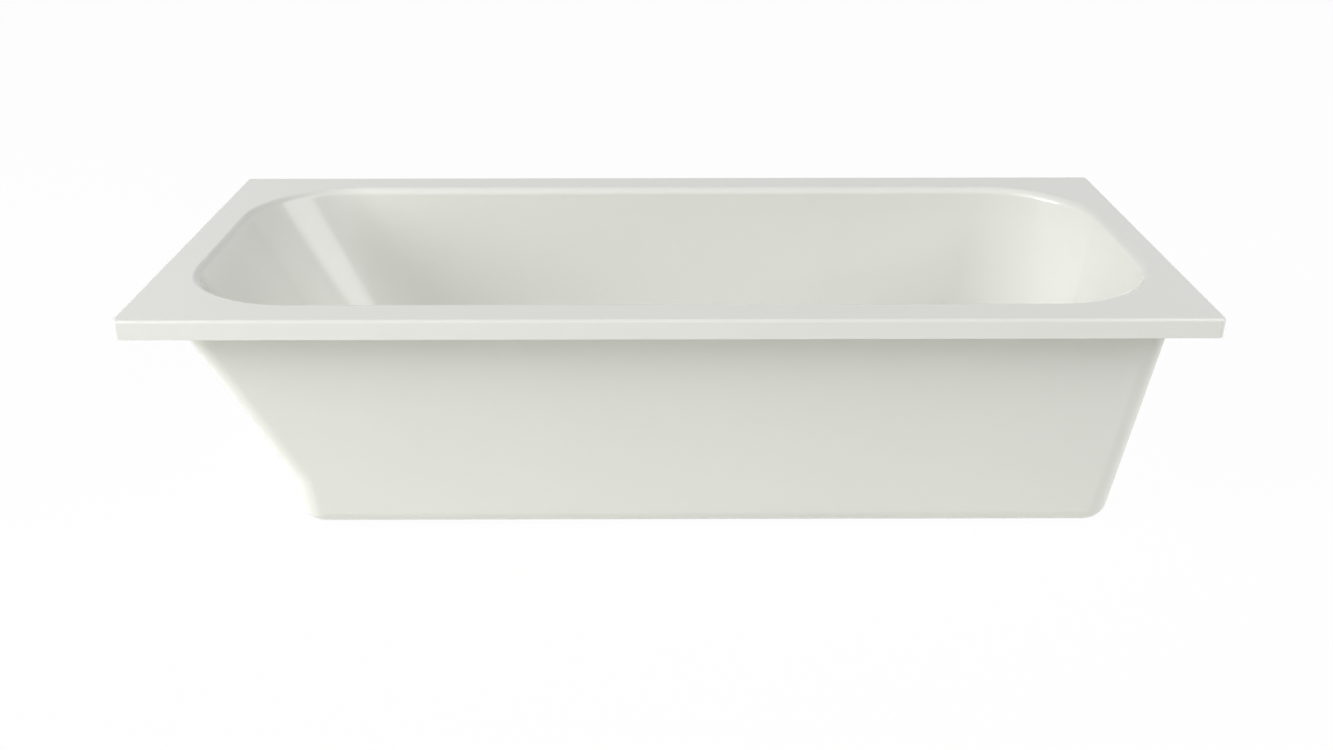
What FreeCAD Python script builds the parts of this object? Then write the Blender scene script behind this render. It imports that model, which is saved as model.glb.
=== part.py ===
"""Alcove bathtub, 1700 x 750 mm: an acrylic basin in a moulded outer casing.

Frame: the origin is on the floor under the middle of the rim. +X points to the
foot end, where the waste is, +Y away from the front, +Z up. Millimetres.

The walls are given where they meet the plane of the rim's top, as if the corner
there were sharp, and by how far they lean from upright. Every skin behind the
basin's surface (the acrylic's back, the casing's two faces) is the same set of
planes moved out by walls and gaps, with its corner radii following.
"""
import FreeCAD, Part
import math
import os
import re
import Sketcher

# name, value in mm or degrees, what it is
SIZES = [
    ("rim_length", 1700.0, "rim, along X"),
    ("rim_width", 750.0, "rim, along Y"),
    ("rim_height", 423.0, "floor to the rim's top"),
    ("rim_corner", 10.0, "rim's corners in plan"),
    ("rim_edge", 5.5, "rounding of the rim's top edge"),
    ("skirt_depth", 32.0, "skirt round the rim"),
    ("shell_wall", 5.0, "acrylic"),
    ("side_margin", 74.0, "rim's edge to the long walls"),
    ("head_margin", 66.0, "rim's edge to the backrest"),
    ("foot_margin", 54.0, "rim's edge to the foot-end wall"),
    ("side_draft", 4.0, "long walls, from upright"),
    ("head_lean", 27.25, "backrest, from upright"),
    ("foot_lean", 8.0, "foot-end wall, from upright"),
    ("floor_level", 78.0, "basin floor's lowest edge above the ground"),
    ("floor_slope", 0.45, "floor, falling to the foot end"),
    ("head_corner", 170.0, "basin's upright corners at the head"),
    ("foot_corner", 185.0, "basin's upright corners at the foot"),
    ("floor_round", 50.0, "basin's walls to its floor"),
    ("rim_roll", 15.0, "rim to the basin's walls"),
    ("casing_wall", 4.0, "outer casing"),
    ("side_gap", 5.7, "acrylic to casing, long walls"),
    ("head_gap", 12.8, "acrylic to casing, head"),
    ("foot_gap", 4.4, "acrylic to casing, foot"),
    ("casing_lift", 4.0, "casing's bottom above the floor"),
    ("plinth_height", 92.0, "plinth under the backrest"),
    ("plinth_lean", 5.5, "plinth's end, from upright"),
    ("plinth_round", 22.0, "backrest to plinth, outside"),
    ("casing_corner", 44.0, "casing's upright corners"),
    ("casing_foot_round", 35.0, "casing's bottom edge"),
    ("flange_gap", 3.0, "casing's top flange to the skirt"),
    ("flange_corner", 6.0, "casing's top flange, corners"),
    ("flange_root", 6.0, "casing's wall to its top flange, outside"),
    ("ledge_width", 34.0, "casing's bottom flange, past its rounded edge"),
    ("ledge_corner", 60.0, "opening in the casing's bottom"),
    ("pipe_hole", 26.0, "radius of the waste pipe's way out of the casing"),
    ("batten_thick", 18.0, "rim battens, in Z"),
    ("batten_gap", 2.0, "battens to the skirt"),
    ("side_batten", 40.0, "front and back batten, in Y"),
    ("head_batten", 40.0, "head batten, in X"),
    ("foot_batten", 22.0, "foot batten, in X"),
    ("batten_joint", 1.0, "end battens to the long ones"),
    ("board_thick", 18.0, "base board at the basin's lowest edge"),
    ("board_head_inset", 330.0, "rim's head edge to the base board"),
    ("board_foot_inset", 350.0, "rim's foot edge to the base board"),
    ("board_side_inset", 185.0, "rim's long edges to the base board"),
    ("board_corner", 40.0, "base board, corners"),
    ("bar_inset", 450.0, "rim's ends to the cross bars' middles"),
    ("bar_end_inset", 135.0, "rim's long edges to the cross bars' ends"),
    ("bar_depth", 20.0, "cross bars, in Z"),
    ("bar_web", 40.0, "cross bars' channel, in X"),
    ("bar_lip", 15.0, "cross bars' lips, each"),
    ("bar_wall", 2.0, "cross bars' steel"),
    ("bend_inside", 1.0, "inside of the bends in bars and stays"),
    ("foot_inset", 195.0, "rim's long edges to the feet's axes"),
    ("stud_radius", 5.0, "levelling studs"),
    ("thread_gap", 0.2, "studs to nuts"),
    ("stud_hole_gap", 0.8, "studs to the bars' holes"),
    ("stud_room", 6.0, "stud's top to the base board"),
    ("nut_flats", 17.0, "foot nuts across flats"),
    ("nut_thick", 8.0, "nuts welded in the bars"),
    ("locknut_thick", 6.0, "locknuts"),
    ("pad_radius", 25.0, "foot pads"),
    ("pad_rim", 4.0, "foot pads' edge, in Z"),
    ("pad_height", 10.0, "foot pads, in Z"),
    ("pad_top", 12.0, "foot pads' radius at the top"),
    ("pad_sole", 3.0, "pad under the stud"),
    ("grip_flats", 13.0, "stud's hexagon, across flats"),
    ("grip_thick", 5.0, "stud's hexagon"),
    ("stay_width", 30.0, "casing stays, in X"),
    ("stay_foot", 16.0, "casing stays' feet, in Y"),
    ("stay_inset", 6.0, "bars' ends to the stays' webs"),
    ("stay_wall", 2.0, "casing stays' steel"),
    ("screw_radius", 2.1, "screws' shanks"),
    ("screw_head", 4.2, "screws' heads, radius"),
    ("screw_head_thick", 2.4, "screws' heads"),
    ("screw_gap", 0.3, "screws to the holes they pass"),
    ("pilot_gap", 0.05, "screws to the holes they bite in"),
    ("casing_screw_length", 18.0, "under the head"),
    ("bar_screw_length", 14.0, "under the head"),
    ("screw_tip_room", 1.5, "pilot holes past the screws' tips"),
    ("stay_screw_length", 9.0, "under the head"),
    ("casing_screw_inset", 250.0, "rim's ends to the outermost screws at the front and back"),
    ("end_screw_inset", 225.0, "rim's long edges to the screws at the head and foot"),
    ("bar_screw_inset", 255.0, "rim's long edges to the bars' screws"),
    ("waste_inset", 260.0, "rim's foot edge to the waste's axis"),
    ("recess_depth", 4.0, "waste recess under the floor's lowest edge"),
    ("recess_radius", 42.0, "waste recess"),
    ("recess_round", 2.5, "floor to the waste recess"),
    ("drain_hole", 25.5, "hole in the acrylic, radius"),
    ("gasket_thick", 1.5, "seal above the acrylic"),
    ("gasket_width", 7.0, "seal above the acrylic"),
    ("gasket_inset", 2.0, "seals in from the rings that press them"),
    ("trap_gasket_thick", 2.5, "seal below the acrylic"),
    ("waste_radius", 35.0, "waste ring"),
    ("waste_ring_thick", 2.5, "waste ring"),
    ("ring_bevel", 1.2, "waste ring's bevels"),
    ("tail_radius", 24.0, "waste's threaded tail"),
    ("tail_wall", 3.0, "waste's threaded tail"),
    ("tail_length", 20.0, "waste's tail below its ring"),
    ("hub_radius", 9.5, "waste's spider hub"),
    ("hub_height", 6.0, "waste's spider hub"),
    ("hub_drop", 9.0, "ring's top to the hub's top"),
    ("spoke_width", 2.6, "waste's spider spokes"),
    ("trap_flange", 40.0, "trap's top flange, radius"),
    ("trap_flange_thick", 3.5, "trap's top flange"),
    ("trap_radius", 52.0, "trap's bowl"),
    ("trap_wall", 3.0, "trap's wall"),
    ("trap_lift", 14.0, "trap's bottom above the floor"),
    ("trap_round", 10.0, "trap's bottom edge"),
    ("trap_shoulder", 8.0, "trap's shoulder below its flange"),
    ("trap_seat", 2.0, "ledge under the dip tube's collar"),
    ("seat_radius", 21.0, "hole in that ledge"),
    ("dip_radius", 20.6, "dip tube"),
    ("dip_wall", 2.0, "dip tube"),
    ("dip_end", 27.0, "dip tube's end above the floor"),
    ("collar_thick", 2.0, "dip tube's collar"),
    ("fit_gap", 0.2, "parts that screw or slide together"),
    ("outlet_height", 37.0, "outlet's axis above the floor"),
    ("outlet_radius", 23.0, "trap's threaded outlet"),
    ("outlet_start", 30.0, "trap's outlet begins inside the bowl, from the waste's axis"),
    ("outlet_end", 78.0, "trap's outlet, from the waste's axis"),
    ("outlet_bore", 17.0, "trap's outlet, inside"),
    ("socket_depth", 16.0, "pipe in the trap's outlet"),
    ("washer_thick", 4.0, "outlet washer"),
    ("outlet_nut_radius", 27.5, "outlet nut"),
    ("outlet_nut_length", 23.0, "outlet nut"),
    ("outlet_nut_lip", 4.0, "outlet nut's lip"),
    ("nut_flute", 2.2, "outlet nut's grip flutes, radius"),
    ("pipe_radius", 20.0, "waste pipe"),
    ("pipe_wall", 2.0, "waste pipe"),
    ("pipe_inset", 40.0, "rim's back edge to the waste pipe's end"),
    ("mouth_depth", 32.0, "socket at the pipe's end"),
    ("mouth_gap", 0.25, "socket's wall to a pipe in it"),
    ("mouth_wall", 3.0, "socket's wall"),
    ("cap_radius", 32.0, "plug's cap"),
    ("cap_thick", 5.0, "plug's cap"),
    ("cap_round", 4.0, "plug's cap, top edge"),
    ("plug_seal_inner", 14.0, "plug's seal, inner radius"),
    ("plug_seal_outer", 27.0, "plug's seal, outer radius"),
    ("plug_seal_thick", 2.0, "plug's seal"),
    ("plug_gap", 0.2, "plug's seal above the ring when shut"),
    ("stem_radius", 4.0, "plug's stem"),
    ("stem_gap", 0.3, "stem to the latch sleeve"),
    ("stem_length", 34.0, "plug's stem below its cap"),
    ("stem_head", 6.0, "stem's stop, radius"),
    ("stem_head_thick", 2.0, "stem's stop"),
    ("latch_wall", 2.7, "latch sleeve"),
    ("latch_length", 12.0, "latch sleeve"),
    ("latch_collar", 2.0, "latch sleeve's collar"),
]

doc = FreeCAD.newDocument("alcove_bathtub")
sheet = doc.addObject("Spreadsheet::Sheet", "Dims")
for row, (alias, size, note) in enumerate(SIZES, start=1):
    sheet.set("A%d" % row, alias)
    sheet.set("B%d" % row, "%g" % size)
    sheet.set("C%d" % row, note)
    sheet.setAlias("B%d" % row, alias)
doc.recompute()

ALIASES = {alias for alias, size, note in SIZES}
FAR = "(2*rim_length)"  # past everything, for cuts that go right through
CLOSE = 0.01  # mm between two places that count as one
subparts = []


# ---------------------------------------------------------------- helpers

def bind(text):
    """An expression in plain size names, as one that any object may hold."""
    return re.sub(r"[a-z_]+", lambda m: "Dims." + m.group() if m.group() in ALIASES else m.group(), text)


def number(text):
    """What such an expression is worth now."""
    value = sheet.evalExpression(bind(text))
    return float(getattr(value, "Value", value))


def new_body(label, x="0", y="0", z="0"):
    body = doc.addObject("PartDesign::Body", label)
    body.Label = label
    for axis, place in (("x", x), ("y", y), ("z", z)):
        body.setExpression("Placement.Base." + axis, bind(place))
    return body


def new_subpart(label, x="0", y="0", z="0"):
    body = new_body(label, x, y, z)
    subparts.append(body)
    return body


def draw(body, name, plane, outlines=(), circles=(), lift="0"):
    """A sketch on one of the body's own planes, raised along its normal by lift.

    An outline is a list of corners and a circle is (x, y, radius), all in size names.
    """
    sketch = body.newObject("Sketcher::SketchObject", name)
    support = [item for item in body.Origin.OriginFeatures if item.Role == plane][0]
    sketch.AttachmentSupport = [(support, "")]
    sketch.MapMode = "FlatFace"
    sketch.setExpression("AttachmentOffset.Base.z", bind(lift))
    for corners in outlines:
        first = sketch.GeometryCount
        count = len(corners)
        points = [FreeCAD.Vector(number(x), number(y), 0) for x, y in corners]
        for i in range(count):
            sketch.addGeometry(Part.LineSegment(points[i], points[(i + 1) % count]), False)
        for i in range(count):
            following = first + (i + 1) % count
            sketch.addConstraint(Sketcher.Constraint("Coincident", first + i, 2, following, 1))
            place_point(sketch, first + i, 1, corners[i])
    for x, y, radius in circles:
        centre = FreeCAD.Vector(number(x), number(y), 0)
        circle = sketch.addGeometry(Part.Circle(centre, FreeCAD.Vector(0, 0, 1), number(radius)), False)
        place_point(sketch, circle, 3, (x, y))
        held = sketch.addConstraint(Sketcher.Constraint("Radius", circle, number(radius)))
        sketch.setExpression("Constraints[%d]" % held, bind(radius))
    return sketch


def place_point(sketch, piece, end, place):
    """Hold a point at its X and Y from the sketch's origin."""
    for kind, text, axis in (("DistanceX", place[0], -2), ("DistanceY", place[1], -1)):
        if text == "0":
            sketch.addConstraint(Sketcher.Constraint("PointOnObject", piece, end, axis))
            continue
        held = sketch.addConstraint(Sketcher.Constraint(kind, -1, 1, piece, end, number(text)))
        sketch.setExpression("Constraints[%d]" % held, bind(text))


def rectangle(x_low, x_high, y_low, y_high):
    return [(x_low, y_low), (x_high, y_low), (x_high, y_high), (x_low, y_high)]


def extrude(kind, sketch, length, side="One side", flip=False):
    """A pad or pocket of a sketch, worked out at once and made the body's tip."""
    body = sketch.getParentGeoFeatureGroup()
    feature = body.newObject("PartDesign::" + kind, sketch.Name + "_" + kind.lower())
    feature.Profile = sketch
    feature.SideType = side
    feature.Reversed = flip
    feature.setExpression("Length", bind(length))
    return finish(feature)


def turn(kind, sketch, axis="V_Axis"):
    """A revolution or groove of a sketch about one of its own axes."""
    body = sketch.getParentGeoFeatureGroup()
    feature = body.newObject("PartDesign::" + kind, sketch.Name + "_" + kind.lower())
    feature.Profile = sketch
    feature.ReferenceAxis = (sketch, [axis])
    feature.Angle = 360
    return finish(feature)


def round_edges(body, name, radius, wanted):
    """A fillet on the edges of the body's tip that wanted picks."""
    base = body.Tip
    edges = ["Edge%d" % i for i, edge in enumerate(base.Shape.Edges, start=1) if wanted(edge)]
    feature = body.newObject("PartDesign::Fillet", name)
    feature.Base = (base, edges)
    feature.setExpression("Radius", bind(radius))
    return finish(feature)


def join(kind, body, other):
    """Fuse another body to this one, or cut it away."""
    feature = body.newObject("PartDesign::Boolean", other.Name + "_" + kind.lower())
    feature.Type = kind
    feature.setObjects([other])
    return finish(feature)


def finish(feature):
    feature.getParentGeoFeatureGroup().Tip = feature
    doc.recompute()
    return feature


def same(a, b):
    """True for two lengths that differ by less than any size of the part."""
    return abs(a - b) < CLOSE


def direction(edge):
    return (edge.Vertexes[-1].Point - edge.Vertexes[0].Point).normalize()


def level(edge, height):
    """True for an edge that lies at this height."""
    heights = [vertex.Z for vertex in edge.Vertexes] + [edge.CenterOfMass.z]
    return all(same(z, height) for z in heights)


# ------------------------------------------------- walls, as expressions

def side_wall(skin, height):
    """Half the width between the long walls' planes at a height, moved out by skin."""
    return ("(rim_width/2 - side_margin - (rim_height - (%s))*tan(side_draft) + (%s)/cos(side_draft))"
            % (height, skin))


def head_wall(skin, height):
    return ("(-rim_length/2 + head_margin + (rim_height - (%s))*tan(head_lean) - (%s)/cos(head_lean))"
            % (height, skin))


def foot_wall(skin, height):
    return ("(rim_length/2 - foot_margin - (rim_height - (%s))*tan(foot_lean) + (%s)/cos(foot_lean))"
            % (height, skin))


LOW_EDGE = foot_wall("0", "floor_level")  # where the floor is lowest


def floor_height(skin, x):
    """The floor's plane moved down by skin, at an x."""
    return ("(floor_level + (%s - (%s))*tan(floor_slope) - (%s)/cos(floor_slope))"
            % (LOW_EDGE, x, skin))


def meet(wall, skin, lean):
    """Height at which a wall's plane meets the floor's: lean is its run per mm down."""
    return ("(%s/(1 - tan(floor_slope)*(%s)))"
            % (floor_height(skin, wall(skin, "0")), lean))


# how far the casing's outer planes lie behind the basin's surface
SIDE_SKIN = "(shell_wall + side_gap + casing_wall)"
HEAD_SKIN = "(shell_wall + head_gap + casing_wall)"
FOOT_SKIN = "(shell_wall + foot_gap + casing_wall)"

# heights, worked down from the rim
FLANGE_TOP = "(rim_height - shell_wall - batten_thick)"
RECESS_FLOOR = "(floor_level - recess_depth)"
RECESS_BACK = "(%s - shell_wall)" % RECESS_FLOOR
RING_BOTTOM = "(%s + gasket_thick)" % RECESS_FLOOR
RING_TOP = "(%s + waste_ring_thick)" % RING_BOTTOM
TAIL_BOTTOM = "(%s - tail_length)" % RING_BOTTOM
HUB_TOP = "(%s - hub_drop)" % RING_TOP
TRAP_TOP = "(%s - trap_gasket_thick)" % RECESS_BACK
FLANGE_BOTTOM = "(%s - trap_flange_thick)" % TRAP_TOP
SEAT_TOP = "(%s - fit_gap - collar_thick)" % TAIL_BOTTOM
CAP_BOTTOM = "(%s + plug_gap + plug_seal_thick)" % RING_TOP
BOARD_BOTTOM = "(floor_level - shell_wall - board_thick)"
BAR_BOTTOM = "(%s - bar_depth)" % BOARD_BOTTOM

LATCH_RADIUS = "(stem_radius + stem_gap + latch_wall)"

# places in plan, in from the rim's edges
WASTE_X = "(rim_length/2 - waste_inset)"
BAR_X = "(rim_length/2 - bar_inset)"
BAR_END = "(rim_width/2 - bar_end_inset)"
FOOT_Y = "(rim_width/2 - foot_inset)"
BAR_SCREW_Y = "(rim_width/2 - bar_screw_inset)"
PIPE_END = "(rim_width/2 - pipe_inset)"


# -------------------------------------------- tapered solids with round corners

def plinth_foot(depth):
    """The plinth's end where the casing's bottom would cut it, moved in by depth."""
    kink = "(casing_lift + plinth_height)"
    return ("(%s + (%s - casing_lift - %s)*tan(plinth_lean) + %s/cos(plinth_lean))"
            % (head_wall(HEAD_SKIN, kink), kink, depth, depth))


def tapered_solid(body, name, half_top, half_base, top, base, profile):
    """A solid whose end view is a tapered band and whose side view is the profile."""
    band = draw(body, name + "_end_view", "YZ_Plane",
                [[("-" + half_top, top), (half_top, top), (half_base, base), ("-" + half_base, base)]])
    extrude("Pad", band, FAR, "Symmetric")
    frame = rectangle("-" + FAR, FAR, "-" + FAR, FAR)
    side = draw(body, name + "_side_view", "XZ_Plane", [frame, profile])
    extrude("Pocket", side, FAR, "Symmetric")


def upright(edge):
    return len(edge.Vertexes) == 2 and abs(direction(edge).z) > 0.5


def bottom_edge(body):
    """A test for the edges round the body's lowest face."""
    lowest = min(body.Tip.Shape.Faces, key=lambda face: face.CenterOfMass.z)
    return lambda edge: any(edge.isSame(other) for other in lowest.Edges)


def basin_form(name, skin):
    """The basin's inside as a solid, or with a skin its outside."""
    body = new_body(name)
    base = "(floor_level - 4*shell_wall)"
    head_bottom = meet(head_wall, skin, "tan(head_lean)")
    foot_bottom = meet(foot_wall, skin, "-tan(foot_lean)")
    profile = [(head_wall(skin, "rim_height"), "rim_height"),
               (head_wall(skin, head_bottom), head_bottom),
               (foot_wall(skin, foot_bottom), foot_bottom),
               (foot_wall(skin, "rim_height"), "rim_height")]
    tapered_solid(body, name, side_wall(skin, "rim_height"), side_wall(skin, base), "rim_height", base,
                  profile)
    round_edges(body, name + "_head_corners", "head_corner + " + skin,
                lambda edge: upright(edge) and edge.CenterOfMass.x < 0)
    round_edges(body, name + "_foot_corners", "foot_corner + " + skin,
                lambda edge: upright(edge) and edge.CenterOfMass.x > number("foot_corner"))
    round_edges(body, name + "_floor_edge", "floor_round + " + skin, bottom_edge(body))
    return body


def casing_form(body, name, depth):
    """The casing's outside as a solid, or its inside when depth is the wall."""
    side = "(%s - %s)" % (SIDE_SKIN, depth)
    head = "(%s - %s)" % (HEAD_SKIN, depth)
    foot = "(%s - %s)" % (FOOT_SKIN, depth)
    bottom = "(casing_lift + %s)" % depth
    base = "(casing_lift - casing_foot_round)"
    kink = ("(casing_lift + plinth_height"
            " - %s*(1/cos(plinth_lean) - 1/cos(head_lean))/(tan(head_lean) - tan(plinth_lean)))" % depth)
    profile = [(head_wall(head, FLANGE_TOP), FLANGE_TOP),
               (head_wall(head, kink), kink),
               (plinth_foot(depth), bottom),
               (foot_wall(foot, bottom), bottom),
               (foot_wall(foot, FLANGE_TOP), FLANGE_TOP)]
    tapered_solid(body, name, side_wall(side, FLANGE_TOP), side_wall(side, base), FLANGE_TOP, base, profile)
    round_edges(body, name + "_kink", "plinth_round + " + depth,
                lambda edge: abs(direction(edge).y) > 0.99 and level(edge, number(kink)))
    round_edges(body, name + "_corners", "casing_corner - " + depth,
                lambda edge: abs(direction(edge).y) < 0.5 and not level(edge, number(FLANGE_TOP))
                and not level(edge, number(bottom)))
    round_edges(body, name + "_bottom_edge", "casing_foot_round - " + depth, bottom_edge(body))


# ------------------------------------------------------------- the bathtub

def bath_shell():
    """Rim, skirt and basin, one skin of acrylic."""
    inside = basin_form("basin_inside", "0")
    outside = basin_form("basin_outside", "shell_wall")
    body = new_subpart("bath_shell")
    skirt_bottom = "rim_height - skirt_depth"
    plan = rectangle("-rim_length/2", "rim_length/2", "-rim_width/2", "rim_width/2")
    rim = draw(body, "rim", "XY_Plane", [plan], lift=skirt_bottom)
    extrude("Pad", rim, "skirt_depth")
    round_edges(body, "rim_corners", "rim_corner", upright)
    round_edges(body, "rim_top_edge", "rim_edge", lambda edge: level(edge, number("rim_height")))
    x = "(rim_length/2 - shell_wall)"
    y = "(rim_width/2 - shell_wall)"
    hollow = draw(body, "skirt_inside", "XY_Plane", [rectangle("-" + x, x, "-" + y, y)], lift=skirt_bottom)
    extrude("Pocket", hollow, "skirt_depth - shell_wall", flip=True)
    inner_corner = number("rim_length/2 - shell_wall")
    round_edges(body, "skirt_inner_corners", "rim_corner - shell_wall",
                lambda edge: upright(edge) and same(abs(edge.CenterOfMass.x), inner_corner))
    join("Fuse", body, outside)
    join("Cut", body, inside)
    round_edges(body, "rim_roll_edge", "rim_roll", mouth_edge("rim_height", "0"))
    round_edges(body, "rim_roll_back", "rim_roll + shell_wall",
                mouth_edge("rim_height - shell_wall", "shell_wall"))
    boss = draw(body, "recess_back", "XY_Plane", circles=[(WASTE_X, "0", "recess_radius + shell_wall")],
                lift=RECESS_BACK)
    extrude("Pad", boss, "shell_wall + recess_depth/2")
    recess = draw(body, "recess", "XY_Plane", circles=[(WASTE_X, "0", "recess_radius")], lift=RECESS_FLOOR)
    extrude("Pocket", recess, "recess_depth + 2*shell_wall", flip=True)
    round_edges(body, "recess_edge", "recess_round", recess_edge)
    hole = draw(body, "drain", "XY_Plane", circles=[(WASTE_X, "0", "drain_hole")],
                lift=RECESS_BACK + " - shell_wall")
    extrude("Pocket", hole, "4*shell_wall", flip=True)


def recess_edge(edge):
    """True for the edges where the basin's floor drops into the waste recess."""
    middle = number(WASTE_X)
    radius = number("recess_radius")
    low = number(RECESS_FLOOR + " + recess_depth/2")
    points = [vertex.Point for vertex in edge.Vertexes]
    on_circle = all(same(math.hypot(point.x - middle, point.y), radius) for point in points)
    above = all(point.z > low for point in points)
    return on_circle and above and edge.BoundBox.DiagonalLength > radius


def mouth_edge(height, skin):
    """A test for the edges where the basin's walls meet a level plane of the rim."""
    z = number(height)
    spare = number("rim_roll")
    widest = number(side_wall(skin, height)) + spare
    left = number(head_wall(skin, height)) - spare
    right = number(foot_wall(skin, height)) + spare

    def test(edge):
        middle = edge.CenterOfMass
        return level(edge, z) and abs(middle.y) < widest and left < middle.x < right
    return test


def outer_casing():
    """Moulded skin round the basin, with a flange under the rim and a ledge at its bottom."""
    inside = new_body("casing_inside")
    casing_form(inside, "casing_inside", "casing_wall")
    body = new_subpart("outer_casing")
    casing_form(body, "casing_outside", "0")
    x = "(rim_length/2 - shell_wall - flange_gap)"
    y = "(rim_width/2 - shell_wall - flange_gap)"
    flange = draw(body, "flange", "XY_Plane", [rectangle("-" + x, x, "-" + y, y)],
                  lift=FLANGE_TOP + " - casing_wall")
    extrude("Pad", flange, "casing_wall")
    corner = number(x)
    round_edges(body, "flange_corners", "flange_corner",
                lambda edge: upright(edge) and same(abs(edge.CenterOfMass.x), corner))
    join("Cut", body, inside)
    round_edges(body, "flange_root", "flange_root", flange_root_edge)
    edge_width = "casing_foot_round + ledge_width"
    head = "%s + %s" % (plinth_foot("0"), edge_width)
    foot = "%s - (%s)" % (foot_wall(FOOT_SKIN, "casing_lift"), edge_width)
    side = "(%s - (%s))" % (side_wall(SIDE_SKIN, "casing_lift"), edge_width)
    opening = draw(body, "opening", "XY_Plane", [rectangle(head, foot, "-" + side, side)])
    extrude("Pocket", opening, "casing_lift + 2*casing_wall", flip=True)
    ledge_top = number("casing_lift + casing_wall")
    round_edges(body, "opening_corners", "ledge_corner",
                lambda edge: len(edge.Vertexes) == 2 and abs(direction(edge).z) > 0.99
                and edge.BoundBox.ZMax < ledge_top + CLOSE)
    holes = [(x, y, "screw_radius + screw_gap") for x, y in casing_screw_places()]
    flange_holes = draw(body, "flange_holes", "XY_Plane", circles=holes,
                        lift=FLANGE_TOP + " - 2*casing_wall")
    extrude("Pocket", flange_holes, "3*casing_wall", flip=True)
    holes = [(x, y, "screw_radius + screw_gap") for x, y in stay_screw_places("(stay_wall + stay_foot/2)")]
    ledge_holes = draw(body, "ledge_holes", "XY_Plane", circles=holes)
    extrude("Pocket", ledge_holes, "casing_lift + 2*casing_wall", flip=True)
    way_out = draw(body, "pipe_hole", "XZ_Plane", circles=[(WASTE_X, "outlet_height", "pipe_hole")])
    extrude("Pocket", way_out, "rim_width")


def flange_root_edge(edge):
    """True for the edges where the casing's outside meets its flange from below."""
    middle = edge.CenterOfMass
    return (level(edge, number(FLANGE_TOP + " - casing_wall"))
            and abs(middle.x) < number("rim_length/2 - shell_wall - 2*flange_gap - flange_corner")
            and abs(middle.y) < number("rim_width/2 - shell_wall - 2*flange_gap - flange_corner"))


def casing_screw_places():
    """Where the casing's flange is screwed to the battens: front, back, head, foot."""
    y = "(rim_width/2 - shell_wall - batten_gap - side_batten/2)"
    pitch = "(rim_length/2 - casing_screw_inset)/2"
    places = [("%d*%s" % (step, pitch) if step else "0", sign + y)
              for sign in ("-", "") for step in range(-2, 3)]
    head = "-(rim_length/2 - shell_wall - batten_gap - head_batten/2)"
    foot = "(rim_length/2 - shell_wall - batten_gap - foot_batten/2)"
    places += [(x, sign + "(rim_width/2 - end_screw_inset)") for x in (head, foot) for sign in ("-", "")]
    return places


def stay_screw_places(step):
    """Under each stay, a step outwards from the inner face of its web."""
    y = "(%s - stay_inset + %s)" % (BAR_END, step)
    return [(x + BAR_X, side + y) for x in ("-", "") for side in ("-", "")]


def batten(label, x_low, x_high, y_low, y_high, screws):
    """A strip bonded under the rim, with pilot holes for the casing's screws."""
    body = new_subpart(label)
    outline = draw(body, label + "_plan", "XY_Plane", [rectangle(x_low, x_high, y_low, y_high)],
                   [(x, y, "screw_radius + pilot_gap") for x, y in screws], FLANGE_TOP)
    extrude("Pad", outline, "batten_thick")


def rim_battens():
    x = "(rim_length/2 - shell_wall - batten_gap)"
    y = "(rim_width/2 - shell_wall - batten_gap)"
    end_y = "(%s - side_batten - batten_joint)" % y
    places = casing_screw_places()
    batten("rim_batten_front", "-" + x, x, "-" + y, "-%s + side_batten" % y, places[0:5])
    batten("rim_batten_back", "-" + x, x, y + " - side_batten", y, places[5:10])
    batten("rim_batten_head", "-" + x, "-%s + head_batten" % x, "-" + end_y, end_y, places[10:12])
    batten("rim_batten_foot", x + " - foot_batten", x, "-" + end_y, end_y, places[12:14])


def screws(label, groups):
    """Pan-head screws, head down, one solid each: groups hold (places, seat's height, length)."""
    body = new_subpart(label)
    body.AllowCompound = True
    for index, (places, seat, length) in enumerate(groups):
        heads = draw(body, "%s_heads_%d" % (label, index), "XY_Plane",
                     circles=[(x, y, "screw_head") for x, y in places], lift=seat + " - screw_head_thick")
        extrude("Pad", heads, "screw_head_thick")
        shanks = draw(body, "%s_shanks_%d" % (label, index), "XY_Plane",
                      circles=[(x, y, "screw_radius") for x, y in places], lift=seat)
        extrude("Pad", shanks, length)


def base_board():
    """Board bonded under the basin: its top follows the floor's fall, its underside is level."""
    body = new_subpart("base_board")
    low = "(-rim_length/2 + board_head_inset)"
    high = "(rim_length/2 - board_foot_inset)"
    side = draw(body, "board_side", "XZ_Plane",
                [[(low, BOARD_BOTTOM), (high, BOARD_BOTTOM),
                  (high, floor_height("shell_wall", high)), (low, floor_height("shell_wall", low))]])
    extrude("Pad", side, "rim_width - 2*board_side_inset", "Symmetric")
    round_edges(body, "board_corners", "board_corner", upright)
    pilots = [(x, y, "screw_radius + pilot_gap") for x, y in bar_screw_places()]
    holes = draw(body, "board_pilots", "XY_Plane", circles=pilots, lift=BOARD_BOTTOM)
    extrude("Pocket", holes, "bar_screw_length - bar_wall + screw_tip_room", flip=True)


def bar_screw_places():
    lip = "(bar_web/2 + bar_lip/2)"
    return [("%s%s %s %s" % (end, BAR_X, way, lip), side + BAR_SCREW_Y)
            for end in ("-", "") for way in ("-", "+") for side in ("-", "")]


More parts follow.
